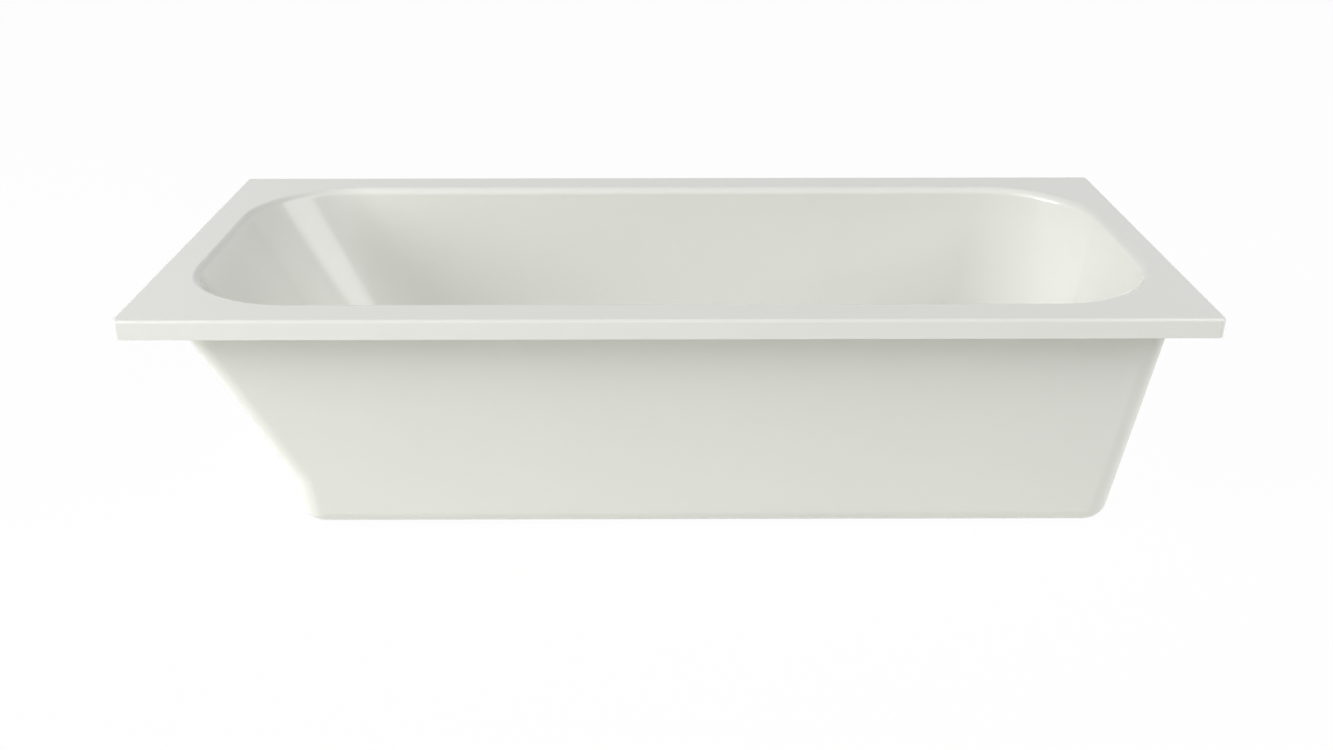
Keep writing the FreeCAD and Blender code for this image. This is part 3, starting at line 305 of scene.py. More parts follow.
def head_wall(height, skin=0.0):
    """The backrest's plane along X at a height, moved out by skin."""
    s = sizes("shell")
    return -s.rim_length / 2 + s.head_margin + inward(height, s.head_lean, skin)


def foot_wall(height, skin=0.0):
    """The foot-end wall's plane along X at a height, moved out by skin."""
    s = sizes("shell")
    return s.rim_length / 2 - s.foot_margin - inward(height, s.foot_lean, skin)


def floor_meets(wall):
    """Height at which a wall meets the sloping floor of the basin."""
    s = sizes("shell")
    height = s.floor_level
    for step in range(8):
        height = s.floor_level + (foot_wall(s.floor_level) - wall(height)) * tan(s.floor_slope)
    return height


def waste_place():
    """The waste's axis, along X."""
    s = sizes("shell")
    return s.rim_length / 2 - s.waste_inset


def from_waste(place):
    """Distance from the waste's axis."""
    return hypot(place.x - waste_place(), place.y)


def recess_floor():
    """Height of the floor of the recess that the waste ring lies in."""
    s = sizes("shell")
    return s.floor_level - s.recess_depth


def flange_top():
    """Height of the top of the casing's flange, which lies under the battens."""
    s = sizes("shell")
    return s.rim_height - s.wall - sizes("casing").batten_thick


# -------------------------------------------------------------- shaping helpers

def start(primitive, name, **given):
    """A primitive added at its size and place, as a piece whose object sits at the origin."""
    bpy.ops.object.select_all(action="DESELECT")
    primitive(**given)
    piece = bpy.context.object
    piece.name = piece.data.name = name
    bpy.ops.object.transform_apply(location=True, rotation=True, scale=True)
    return piece


def pick(piece, kind, test):
    """In edit mode, select those of the piece's verts, edges or faces that test picks, and nothing else."""
    bpy.ops.object.mode_set(mode="EDIT")
    bpy.context.tool_settings.mesh_select_mode = [kind == name for name in ("verts", "edges", "faces")]
    mesh = bmesh.from_edit_mesh(piece.data)
    mesh.normal_update()
    for group in (mesh.verts, mesh.edges, mesh.faces):
        for item in group:
            item.select = False
    chosen = [item for item in getattr(mesh, kind) if test(item)]
    if not chosen:
        raise RuntimeError("%s has no %s to shape there" % (piece.name, kind))
    for item in chosen:
        item.select_set(True)
    mesh.select_flush_mode()
    bmesh.update_edit_mesh(piece.data)


def everything(item):
    return True


def leave(piece):
    bpy.ops.object.mode_set(mode="OBJECT")
    return piece


def middle(edge):
    """The middle of an edge."""
    return (edge.verts[0].co + edge.verts[1].co) / 2


def turning(edge):
    """The angle by which the surface turns at an edge."""
    return edge.calc_face_angle(0.0)


def upright(edge):
    """Whether an edge leans less than 53 degrees from upright."""
    run = edge.verts[1].co - edge.verts[0].co
    return abs(run.z) > 0.6 * run.length


def level(edge, height):
    """Whether an edge lies at a height."""
    return all(abs(vertex.co.z - height) < 0.02 * MM for vertex in edge.verts)


def apply(piece, kind, **settings):
    """Give the piece a modifier and apply it."""
    bpy.ops.object.select_all(action="DESELECT")
    piece.select_set(True)
    bpy.context.view_layer.objects.active = piece
    modifier = piece.modifiers.new(kind.lower(), kind)
    for name, value in settings.items():
        setattr(modifier, name, value)
    bpy.ops.object.modifier_apply(modifier=modifier.name)
    return piece


def round_off(piece, radius, segments, test):
    """Round the edges that test picks to one radius, with each edge's width from how far its faces turn."""
    pick(piece, "edges", test)
    mesh = bmesh.from_edit_mesh(piece.data)
    layers = mesh.edges.layers.float
    weights = layers.get("bevel_weight_edge") or layers.new("bevel_weight_edge")
    widths = {edge: radius * tan(turning(edge) / 2) for edge in mesh.edges if edge.select}
    widest = max(widths.values())
    for edge in mesh.edges:
        edge[weights] = widths.get(edge, 0.0) / widest
    bmesh.update_edit_mesh(piece.data)
    leave(piece)
    return apply(piece, "BEVEL", limit_method="WEIGHT", width=widest, segments=segments,
                 use_clamp_overlap=False, miter_outer="MITER_SHARP")


def combine(piece, other, operation="DIFFERENCE"):
    """Cut another closed form out of the piece, join it on, or keep what both share."""
    apply(piece, "BOOLEAN", operation=operation, solver="EXACT", object=other)
    bpy.data.objects.remove(other)
    return close_up(piece, 0.002 * MM)


def close_up(piece, reach):
    """Merge points that lie together, and dissolve edges and faces that have no size."""
    pick(piece, "verts", everything)
    bpy.ops.mesh.remove_doubles(threshold=reach)
    pick(piece, "verts", everything)
    bpy.ops.mesh.dissolve_degenerate(threshold=reach)
    return leave(piece)


def cylinder(name, radius, low, high, x=0.0, y=0.0, sides=96):
    return start(bpy.ops.mesh.primitive_cylinder_add, name, vertices=sides, radius=radius,
                 depth=high - low, location=(x, y, (low + high) / 2))


def block(name, low, high):
    """A box between two corners."""
    centre = [(a + b) / 2 for a, b in zip(low, high)]
    return start(bpy.ops.mesh.primitive_cube_add, name, size=1.0, location=centre,
                 scale=[b - a for a, b in zip(low, high)])


def rough_block(name, low, high):
    """A block between two heights, whose corners are then moved by taper."""
    x, y = ROUGH
    return block(name, (-x, -y, low), (x, y, high))


def taper(piece, levels):
    """Move the corners of a rough block. A level is their height and the places, as (x, y, z), that the
    back corners at the head and at the foot go to. The front mirrors the back."""
    for height, *ends in levels:
        for end, (x, y, z) in zip((-1, 1), ends):
            for side in (-1, 1):
                here = Vector((end * ROUGH[0], side * ROUGH[1], height))
                pick(piece, "verts", lambda vertex: (vertex.co - here).length < 0.01 * MM)
                bpy.ops.transform.translate(value=Vector((x, side * y, z)) - here)
    return leave(piece)


def corner_at(x, height, skin=0.0):
    """The back end of a level line across the bath, between the planes of the long walls."""
    return x, side_wall(height, skin), height


def lathe(name, outline, x=0.0, y=0.0, z=0.0, axis="Z", sides=64, closed=True):
    """A round piece: a circle extruded and resized along its outline of (radius, distance along the axis).

    A closed outline ends where it started. An open one starts and ends on the axis. The piece is made
    round the middle, where a tiny first ring keeps its shape, and then moved to its place.
    """
    along = Vector((0, 0, 1)) if axis == "Z" else Vector((0, 1, 0))
    tilt = (0, 0, 0) if axis == "Z" else (-pi / 2, 0, 0)
    steps = [(max(radius, TINY), distance) for radius, distance in outline]
    if closed:
        steps.append(steps[0])
    radius, distance = steps[0]
    piece = start(bpy.ops.mesh.primitive_circle_add, name, vertices=sides, radius=radius,
                  location=along * distance, rotation=tilt)
    pick(piece, "verts", everything)
    for new_radius, new_distance in steps[1:]:
        bpy.ops.mesh.extrude_edges_move(TRANSFORM_OT_translate={"value": along * (new_distance - distance)})
        factor = new_radius / radius
        scale = [1 if part else factor for part in along]
        bpy.ops.transform.resize(value=scale, center_override=along * new_distance)
        radius, distance = new_radius, new_distance
    pick(piece, "verts", everything)
    bpy.ops.mesh.remove_doubles(threshold=0.004 * MM)
    bpy.ops.mesh.dissolve_degenerate(threshold=0.003 * MM)
    pick(piece, "faces", everything)
    bpy.ops.mesh.normals_make_consistent(inside=False)
    bpy.ops.transform.translate(value=(x, y, z))
    return leave(piece)


def thicken(piece, wall):
    """Give an open skin its wall, behind the faces that show."""
    close_up(piece, 0.03 * MM)
    return apply(piece, "SOLIDIFY", thickness=wall, offset=-1.0, use_even_offset=False,
                 use_quality_normals=True)


def soften(piece, width, segments=2, angle=40):
    """A small machined or moulded edge all over."""
    return apply(piece, "BEVEL", limit_method="ANGLE", angle_limit=radians(angle), width=width,
                 segments=segments, use_clamp_overlap=True)


def quarter(radius, distance, rounding, first):
    """Points of a quarter circle in an outline, round (radius, distance), from a first angle in degrees."""
    turns = [radians(first + 10 * step) for step in range(10)]
    return [(radius + rounding * cos(turn), distance + rounding * sin(turn)) for turn in turns]


def discard(*pieces):
    for piece in pieces:
        bpy.data.objects.remove(piece)


def threaded(radius, pitch, begin, end):
    """The outline of a thread's turns between two distances along its axis, as (radius, distance)."""
    turns = round((end - begin) / pitch)
    step = (end - begin) / turns
    root = radius - 0.4 * step
    profile = ((root, 0.05), (radius, 0.42), (radius, 0.58), (root, 0.95))   # radius and part of a turn
    return [(out, begin + turn * step + part * step) for turn in range(turns) for out, part in profile]


def hexagon_nut(name, flats, low, thick, bore):
    """A hexagon with its corners turned off at both ends and a hole through it."""
    high = low + thick
    corner = flats / sqrt(3)
    face = 0.48 * flats     # radius of the round face that the turning leaves at each end
    drop = (corner - face) * tan(radians(30))
    piece = start(bpy.ops.mesh.primitive_cylinder_add, name, vertices=6, radius=corner, depth=thick,
                  location=(0, 0, (low + high) / 2), rotation=(0, 0, pi / 6))
    outline = [(0, low), (face, low), (corner, low + drop), (corner, high - drop), (face, high), (0, high)]
    combine(piece, lathe("turned", outline, closed=False), "INTERSECT")
    return combine(piece, cylinder("bore", bore, low - thick, high + thick, sides=48))


def copy_to(piece, name, x, y, z=0.0):
    """A copy with its own mesh, moved in its mesh."""
    bpy.ops.object.select_all(action="DESELECT")
    piece.select_set(True)
    bpy.context.view_layer.objects.active = piece
    bpy.ops.object.duplicate(linked=False)
    twin = bpy.context.object
    twin.name = twin.data.name = name
    bpy.ops.transform.translate(value=(x, y, z))
    bpy.ops.object.transform_apply(location=True, rotation=True, scale=True)
    return twin


def merge(pieces, name):
    """Several pieces as one object."""
    bpy.ops.object.select_all(action="DESELECT")
    for piece in pieces:
        piece.select_set(True)
    bpy.context.view_layer.objects.active = pieces[0]
    bpy.ops.object.join()
    whole = bpy.context.object
    whole.name = whole.data.name = name
    return whole


def hand_over(piece, body, finish, nodes, angle=30):
    """Shade a finished piece, give it its finish and put it in its CAD nodes' place."""
    bpy.ops.object.select_all(action="DESELECT")
    piece.select_set(True)
    bpy.context.view_layer.objects.active = piece
    bpy.ops.object.shade_smooth_by_angle(angle=radians(angle))
    apply(piece, "WEIGHTED_NORMAL", keep_sharp=True, mode="FACE_AREA", weight=50)
    piece.data.materials.clear()
    piece.data.materials.append(finish)
    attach(piece, body)
    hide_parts(*nodes)


def dress(node, finish):
    """Give a CAD node's own mesh a finish."""
    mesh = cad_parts[node].data
    if not mesh.materials:
        mesh.materials.append(finish)
    for index in range(len(mesh.materials)):
        mesh.materials[index] = finish


# ---------------------------------------------------------------------- finishes

def add(tree, kind, sockets, **settings):
    """A node with its settings, and its sockets set to a value or linked from another node's output."""
    node = tree.nodes.new(kind)
    for name, value in settings.items():
        setattr(node, name, value)
    for key, value in sockets.items():
        if isinstance(value, bpy.types.NodeSocket):
            tree.links.new(value, node.inputs[key])
        else:
            node.inputs[key].default_value = value
    return node


def new_finish(name, **surface):
    """A material with its shader, and the piece's own coordinates.

    One that is there already is built anew in place, so the pieces that have it keep it."""
    made = bpy.data.materials.get(name) or bpy.data.materials.new(name)
    made.use_nodes = True
    tree = made.node_tree
    tree.nodes.clear()
    shader = tree.nodes.new("ShaderNodeBsdfPrincipled")
    output = tree.nodes.new("ShaderNodeOutputMaterial")
    tree.links.new(shader.outputs["BSDF"], output.inputs["Surface"])
    for key, value in surface.items():
        shader.inputs[key.replace("_", " ")].default_value = value
    place = tree.nodes.new("ShaderNodeTexCoord").outputs["Object"]
    return made, tree, shader, place


def between(tree, factor, low, high):
    """A colour between two others by a factor."""
    mixed = add(tree, "ShaderNodeMix", {"Factor": factor}, data_type="RGBA")
    mixed.inputs[6].default_value = [*low, 1]
    mixed.inputs[7].default_value = [*high, 1]
    return mixed.outputs[2]


def span(tree, value, low, high, to_low, to_high):
    """A value moved from one range to another."""
    return add(tree, "ShaderNodeMapRange", {"Value": value, "From Min": low, "From Max": high,
                                            "To Min": to_low, "To Max": to_high}).outputs["Result"]


def tones(tree, factor, base, low, high):
    """Tones of one colour by a factor, from low to high times its brightness."""
    return between(tree, factor, *([min(1.0, channel * part) for channel in base] for part in (low, high)))


def combined(tree, operation, first, second):
    """The result of a sum or a comparison with two values."""
    sockets = {0: first, 1: second}
    return add(tree, "ShaderNodeMath", sockets, operation=operation).outputs["Value"]


def noise(tree, place, scale, detail):
    """Clouds, as many to a metre as the scale says."""
    sockets = {"Vector": place, "Scale": scale, "Detail": detail}
    return add(tree, "ShaderNodeTexNoise", sockets).outputs["Fac"]


def cells(tree, place, scale):
    """Two random values for each cell, with as many cells to a metre as the scale says."""
    found = add(tree, "ShaderNodeTexVoronoi", {"Vector": place, "Scale": scale})
    parts = add(tree, "ShaderNodeSeparateColor", {"Color": found.outputs["Color"]})
    return parts.outputs["Red"], parts.outputs["Green"]


def bumps(tree, height, strength, depth, **under):
    """Bumps of a depth in metres, over the normal given as Normal if there is one."""
    sockets = {"Height": height, "Strength": strength, "Distance": depth, **under}
    return add(tree, "ShaderNodeBump", sockets).outputs["Normal"]


def cover(tree, shader, *outputs):
    """Link a finish's colour, roughness and normal, as far as they are given."""
    for name, output in zip(("Base Color", "Roughness", "Normal"), outputs):
        tree.links.new(output, shader.inputs[name])


def cast_acrylic():
    """Cast acrylic sheet, vacuum formed: an even deep gloss with the slow ripple of a drawn sheet over
    some 60 mm, a 4 mm texture too low to see as bumps, and a fine bloom of cleaning marks that only
    changes the gloss."""
    made, tree, shader, place = new_finish("cast_acrylic_formed", IOR=1.49, Coat_Weight=0.2,
                                           Coat_Roughness=0.04, Coat_IOR=1.49)
    clouds = noise(tree, place, 4.0, 3.0)
    marks = noise(tree, place, 90.0, 6.0)
    ripple = bumps(tree, noise(tree, place, 16.0, 1.0), 0.12, 0.4 * MM)
    texture = bumps(tree, noise(tree, place, 250.0, 2.0), 0.10, 0.02 * MM, Normal=ripple)
    cover(tree, shader, tones(tree, clouds, sizes("colours").acrylic, 0.985, 1.012),
          span(tree, marks, 0.3, 0.7, 0.16, 0.22), texture)
    return made


def gel_coat():
    """Moulded casing with a gel coat: a little duller than the acrylic, with an orange peel of 2 to 3 mm
    and faint flow marks."""
    made, tree, shader, place = new_finish("gel_coat_moulded", IOR=1.5, Coat_Weight=0.25,
                                           Coat_Roughness=0.08)
    clouds = noise(tree, place, 3.0, 4.0)
    flow = noise(tree, place, 30.0, 2.0)
    peel = noise(tree, place, 420.0, 1.0)
    cover(tree, shader, tones(tree, clouds, sizes("colours").casing, 0.985, 1.015),
          span(tree, flow, 0.25, 0.75, 0.28, 0.31), bumps(tree, peel, 0.03, 0.01 * MM))
    return made


def planed_spruce(name, turn):
    """Planed spruce strip: straight grain along the strip, fifty times as long as it is wide. It is satin,
    with planer chatter too fine to show, so only the grain lifts the surface."""
    c = sizes("colours")
    made, tree, shader, place = new_finish(name, IOR=1.5)
    stretch = {"Vector": place, "Rotation": (0, 0, turn), "Scale": (1.2, 60.0, 60.0)}
    along = add(tree, "ShaderNodeMapping", stretch).outputs["Vector"]
    drift = add(tree, "ShaderNodeTexNoise", {"Vector": along, "Scale": 0.9, "Detail": 3.0})
    bent = add(tree, "ShaderNodeVectorMath", {0: along, 1: drift.outputs["Color"]}, operation="ADD")
    waves = {"Vector": bent.outputs["Vector"], "Scale": 1.1, "Distortion": 1.6, "Detail": 2.0}
    rings = add(tree, "ShaderNodeTexWave", waves, bands_direction="DIAGONAL").outputs["Fac"]
    fibre = noise(tree, along, 14.0, 4.0)
    grain = combined(tree, "MULTIPLY", rings, fibre)
    cover(tree, shader, between(tree, grain, c.spruce, c.spruce_grain),
          span(tree, fibre, 0.3, 0.7, 0.55, 0.72), bumps(tree, grain, 0.35, 0.12 * MM))
    return made


def faced_chipboard():
    """Pressed chipboard with sealed faces: flakes of 2 to 8 mm in several browns, matt."""
    made, tree, shader, place = new_finish("chipboard_pressed", IOR=1.5)
    tone, dullness = cells(tree, place, 260.0)
    flakes = add(tree, "ShaderNodeMapping", {"Vector": place, "Scale": (120.0, 420.0, 300.0)})
    mixed = combined(tree, "MULTIPLY", tone, cells(tree, flakes.outputs["Vector"], 1.0)[1])
    cover(tree, shader, tones(tree, mixed, sizes("colours").chipboard, 1.18, 0.45),
          span(tree, dullness, 0.0, 1.0, 0.6, 0.8), bumps(tree, mixed, 0.3, 0.1 * MM))
    return made


def galvanised_steel():
    """Hot-dip galvanised sheet steel: spangles of about 9 mm that differ in tone and gloss."""
    made, tree, shader, place = new_finish("galvanised_sheet_steel", Metallic=1.0)
    tone, dullness = cells(tree, place, 110.0)
    dust = noise(tree, place, 700.0, 3.0)
    cover(tree, shader, tones(tree, tone, sizes("colours").zinc, 0.78, 1.15),
          span(tree, dullness, 0.0, 1.0, 0.32, 0.55), bumps(tree, dust, 0.15, 0.03 * MM))
    return made


def zinc_plate():
    """Bright zinc plate on small steel fixings: satin metal, with a slight yellow cast that comes and
    goes every 4 to 5 mm."""
    made, tree, shader, place = new_finish("zinc_plated_steel", Metallic=1.0)
    cast = noise(tree, place, 220.0, 3.0)
    cover(tree, shader, tones(tree, cast, sizes("colours").plated, 0.86, 1.12),
          span(tree, cast, 0.3, 0.7, 0.24, 0.38), bumps(tree, cast, 0.1, 0.02 * MM))
    return made


def moulded(name, base, rough_low, rough_high, grain, depth, ior=1.49):
    """Moulded or extruded plastic or rubber: one body colour with slow flow marks, and the mould's fine
    grain in gloss and height. The grain is drawn at 1 to 2 mm, coarser than the real one, so that it
    shows."""
    made, tree, shader, place = new_finish(name, IOR=ior)
    flow = noise(tree, place, 24.0, 3.0)
    texture = noise(tree, place, grain, 3.0)
    cover(tree, shader, tones(tree, flow, base, 0.94, 1.05),
          span(tree, texture, 0.3, 0.7, rough_low, rough_high), bumps(tree, texture, 0.25, depth))
    return made


def black_rubber():
    """Moulded seals: matt black, with the mould's texture."""
    return moulded("rubber_moulded_black", sizes("colours").rubber, 0.6, 0.75, 1100.0, 0.03 * MM, 1.52)


def white_polypropylene():
    """The trap, its dip tube and its nut: satin white, as moulded."""
    base = sizes("colours").white_plastic
    return moulded("polypropylene_moulded_white", base, 0.32, 0.45, 900.0, 0.03 * MM)


def chrome_plate():
    """Polished chrome plate: a hard mirror with the slightest haze of wiping, 20 mm across."""
    made, tree, shader, place = new_finish("chrome_plate_polished", Metallic=1.0)
    haze = noise(tree, place, 50.0, 4.0)
    cover(tree, shader, tones(tree, haze, sizes("colours").chrome, 0.97, 1.03),
          span(tree, haze, 0.3, 0.7, 0.04, 0.10))
    return made


def turned_brass():
    """Turned brass: fine tool rings 0.4 mm apart round the axis, drawn at 0.8 mm so that they show."""
    made, tree, shader, place = new_finish("brass_turned", Metallic=1.0)
    waves = {"Vector": place, "Scale": 400.0, "Distortion": 0.4}
    rings = add(tree, "ShaderNodeTexWave", waves, bands_direction="Z").outputs["Fac"]
    cover(tree, shader, tones(tree, rings, sizes("colours").brass, 0.9, 1.08),
          span(tree, rings, 0.0, 1.0, 0.22, 0.34), bumps(tree, rings, 0.2, 0.02 * MM))
    return made


# ------------------------------------------------------------------------ pieces

class BATHTUB_OT_shell(bpy.types.Operator):
    """Rim, skirt and basin, one skin of acrylic"""
    bl_idname = "bathtub.shell"
    bl_label = "Acrylic shell"

    def execute(self, context):
        s = sizes("shell")
        top = s.rim_height
        x, y = s.rim_length / 2, s.rim_width / 2
        piece = block("shell", (-x, -y, BASE), (x, y, top))
        round_off(piece, s.rim_corner, 8, upright)
        round_off(piece, s.rim_edge, 6, lambda edge: level(edge, top) and turning(edge) > CORNER)
        combine(piece, self.basin())
        x = waste_place()
        combine(piece, cylinder("recess", s.recess_radius, recess_floor(), top, x))
        combine(piece, cylinder("drain", s.drain_hole, 2 * BASE, s.floor_level, x))
        round_off(piece, s.rim_roll, 12, lambda edge: level(edge, top) and turning(edge) > CORNER)
        round_off(piece, s.recess_round, 4, self.at_recess)
        pick(piece, "faces", lambda face: face.calc_center_median().z < BASE + NEAR or self.in_drain(face))
        bpy.ops.mesh.delete(type="FACE")
        pick(piece, "verts", lambda vertex: vertex.co.z < BASE + NEAR)
        bpy.ops.transform.translate(value=(0, 0, top - s.skirt_depth - BASE))
        thicken(piece, s.wall)
        hand_over(piece, "tub", cast_acrylic(), ["bath_shell"])
        return {"FINISHED"}

    def basin(self):
        """The basin's inside as a closed form that stands above the rim."""
        s = sizes("shell")
        low = 10 * PAST
        top = s.rim_height + 3 * PAST
        head, foot = floor_meets(head_wall), floor_meets(foot_wall)
        piece = rough_block("basin", low, top)
        taper(piece, ((low, corner_at(head_wall(head), head), corner_at(foot_wall(foot), foot)),
                      (top, corner_at(head_wall(top), top), corner_at(foot_wall(top), top))))
        round_off(piece, s.head_corner, 32, lambda edge: upright(edge) and middle(edge).x < 0)
        round_off(piece, s.foot_corner, 32,
                  lambda edge: upright(edge) and middle(edge).x > 0 and turning(edge) > SHARP)
        lowest = s.floor_level + 2 * PAST
        round_off(piece, s.floor_round, 16,
                  lambda edge: max(v.co.z for v in edge.verts) < lowest and turning(edge) > CORNER)
        return piece

    @staticmethod
    def at_recess(edge):
        s = sizes("shell")
        place = middle(edge)
        return (abs(from_waste(place) - s.recess_radius) < 1 * MM
                and place.z > recess_floor() + s.recess_depth / 2
                and turning(edge) > CORNER and not upright(edge))

    @staticmethod
    def in_drain(face):
        place = face.calc_center_median()
        return (from_waste(place) < sizes("shell").drain_hole + 0.1 * MM
                and place.z < recess_floor() - 0.1 * MM)


class BATHTUB_OT_casing(bpy.types.Operator):
    """Moulded skin round the basin, with its flange, plinth and bottom ledge"""
    bl_idname = "bathtub.casing"
    bl_label = "Outer casing"

    def execute(self, context):
        s = sizes("shell")
        c = sizes("casing")
        flange_low = flange_top() - c.wall
        piece = self.form(flange_low + 2 * PAST)
        left = self.plinth_foot(c.lift) + c.foot_round + c.ledge
        right = foot_wall(c.lift, self.skin(c.foot_gap)) - c.foot_round - c.ledge
        half = side_wall(c.lift, self.skin(c.side_gap)) - c.foot_round - c.ledge
        ceiling = c.lift + PAST
        opening = block("opening", (left, -half, 0), (right, half, ceiling))
        round_off(opening, c.ledge_corner, 12, upright)
        combine(piece, opening)
        pipe_x, pipe_z = waste_place(), sizes("waste").outlet_height
        back = side_wall(pipe_z, self.skin(c.side_gap))
        deep = back - PAST
        way_out = start(bpy.ops.mesh.primitive_cylinder_add, "way_out", vertices=64, radius=c.pipe_hole,
                        depth=4 * PAST, location=(pipe_x, deep + 2 * PAST, pipe_z), rotation=(pi / 2, 0, 0))
        combine(piece, way_out)

        x = s.rim_length / 2 - s.wall - c.flange_gap
        y = s.rim_width / 2 - s.wall - c.flange_gap
        plate = block("plate", (-x, -y, flange_low), (x, y, flange_low + 4 * PAST))
        round_off(plate, c.flange_corner, 6, upright)
        combine(piece, plate, "UNION")
        inner_x, inner_y = x - 2 * PAST, y - 2 * PAST
        round_off(piece, c.flange_root, 6, lambda edge: level(edge, flange_low) and turning(edge) > CORNER
                  and abs(middle(edge).x) < inner_x and abs(middle(edge).y) < inner_y)

        def unwanted(face):
            place = face.calc_center_median()
            in_opening = (left - 1 * MM < place.x < right + 1 * MM and abs(place.y) < half + 1 * MM
                          and c.lift + SLIM < place.z < ceiling + 2 * SLIM)
            in_hole = (hypot(place.x - pipe_x, place.z - pipe_z) < c.pipe_hole + NEAR
                       and deep - 1 * MM < place.y < back - SLIM)
            return place.z > flange_low + NEAR or in_opening or in_hole
        pick(piece, "faces", unwanted)
        bpy.ops.mesh.delete(type="FACE")
        thicken(piece, c.wall)
        hand_over(piece, "tub", gel_coat(), ["outer_casing"])
        return {"FINISHED"}

    @staticmethod
    def skin(gap):
        """How far an outer plane of the casing lies behind the basin's surface."""
        return sizes("shell").wall + gap + sizes("casing").wall

    def plinth_foot(self, height):
        """The plinth's plane at the head along X at a height."""
        c = sizes("casing")
        kink = c.lift + c.plinth_height
        return head_wall(kink, self.skin(c.head_gap)) + (kink - height) * tan(c.plinth_lean)

    def form(self, top):
        """The casing's outside as a closed form."""
        c = sizes("casing")
        side, head, foot = (self.skin(gap) for gap in (c.side_gap, c.head_gap, c.foot_gap))
        kink = c.lift + c.plinth_height
        piece = rough_block("casing", c.lift, top)
        pick(piece, "faces", everything)
        bpy.ops.mesh.bisect(plane_co=(0, 0, kink), plane_no=(0, 0, 1))
        leave(piece)
        head_end = ((c.lift, self.plinth_foot(c.lift)), (kink, head_wall(kink, head)),
                    (top, head_wall(top, head)))
        taper(piece, [(height, corner_at(x, height, side), corner_at(foot_wall(height, foot), height, side))
                      for height, x in head_end])
        round_off(piece, c.corner, 16, lambda edge: upright(edge) and turning(edge) > SHARP)
        round_off(piece, c.plinth_round, 8, lambda edge: level(edge, kink) and turning(edge) > BEND)
        round_off(piece, c.foot_round, 12, lambda edge: level(edge, c.lift) and turning(edge) > CORNER)
        return piece


class BATHTUB_OT_timber(bpy.types.Operator):
    """Rim battens and base board"""
    bl_idname = "bathtub.timber"
    bl_label = "Battens and board"

    def execute(self, context):
        lengthwise = planed_spruce("spruce_planed_lengthwise", 0.0)
        crosswise = planed_spruce("spruce_planed_crosswise", pi / 2)
        for node, finish in (("rim_batten_front", lengthwise), ("rim_batten_back", lengthwise),
                             ("rim_batten_head", crosswise), ("rim_batten_foot", crosswise),
                             ("base_board", faced_chipboard())):
            dress(node, finish)
        return {"FINISHED"}


class BATHTUB_OT_frame(bpy.types.Operator):
    """Cross bars and casing stays of folded steel"""
    bl_idname = "bathtub.frame"
    bl_label = "Bars and stays"

    def execute(self, context):
        steel = galvanised_steel()
        for node in ("cross_bar_head", "cross_bar_foot", "casing_stays"):
            dress(node, steel)
        return {"FINISHED"}


class BATHTUB_OT_feet(bpy.types.Operator):
    """Levelling feet: pads, threaded studs, welded nuts and locknuts"""
    bl_idname = "bathtub.feet"
    bl_label = "Levelling feet"

    def execute(self, context):
        s = sizes("shell")
        f = sizes("feet")
        steel = zinc_plate()
        plastic = moulded("polypropylene_moulded_black", sizes("colours").pad, 0.45, 0.6, 900.0, 0.04 * MM)
        x = s.rim_length / 2 - f.inset_x
        y = s.rim_width / 2 - f.inset_y
        pad = self.pad()
        stud = self.stud()
        nuts, locknuts = [], []
        nut = hexagon_nut("nut", f.nut_flats, f.nut_bottom, f.nut_thick, f.stud_radius)
        locknut = hexagon_nut("locknut", f.nut_flats, f.locknut_bottom, f.locknut_thick, f.stud_radius)
        for end, way in (("head", -1), ("foot", 1)):
            for side, across in (("front", -1), ("back", 1)):
                place = (way * x, across * y)
                foot = "%s_%s" % (end, side)
                for kind, pattern, slot, finish in (("pad_", pad, "pad_plastic", plastic),
                                                    ("stud_", stud, "fixings", steel)):
                    hand_over(copy_to(pattern, kind + foot, *place), "foot_" + foot, finish,
                              ["foot_" + kind + foot])
                nuts.append(copy_to(nut, "nut_" + foot, *place))
                locknuts.append(copy_to(locknut, "locknut_" + foot, *place))
        discard(pad, stud, nut, locknut)
        hand_over(merge(nuts, "foot_nuts_dressed"), "tub", steel, ["foot_nuts"])
        hand_over(merge(locknuts, "foot_locknuts_dressed"), "tub", steel, ["foot_locknuts"])
        return {"FINISHED"}

    def pad(self):
        """A cone with a hub for the stud, a rounded edge and eight grip hollows round it."""
        f = sizes("feet")
        hole = f.stud_radius + f.pad_gap
        piece = lathe("pad", [(0, 0), (f.pad_radius, 0), (f.pad_radius, f.pad_rim),
                              (f.pad_top, f.pad_height), (hole, f.pad_height), (hole, f.pad_sole),
                              (0, f.pad_sole)], closed=False)
        hollows = []
        for step in range(8):
            turn = pi / 8 + step * pi / 4
            hollows.append(cylinder("hollow", f.pad_hollow, f.pad_rim, f.pad_height + f.pad_rim,
                                    f.pad_radius * cos(turn), f.pad_radius * sin(turn), 32))
        combine(piece, merge(hollows, "hollows"))
        return soften(piece, 0.5 * MM, 3)

    def stud(self):
        """A threaded rod with a hexagon to turn it by."""
        f = sizes("feet")
        thread_start = f.pad_height + f.grip_thick
        thread = threaded(f.stud_radius, f.thread_pitch, thread_start, f.stud_top)
        rod = lathe("stud", [(0, f.pad_sole), (f.stud_radius, f.pad_sole), (f.stud_radius, thread_start),
                             *thread, (0, f.stud_top)], closed=False, sides=32)
        grip = hexagon_nut("grip", f.grip_flats, f.pad_height, f.grip_thick, f.stud_radius - f.pad_gap)
        return merge([rod, grip], "stud")


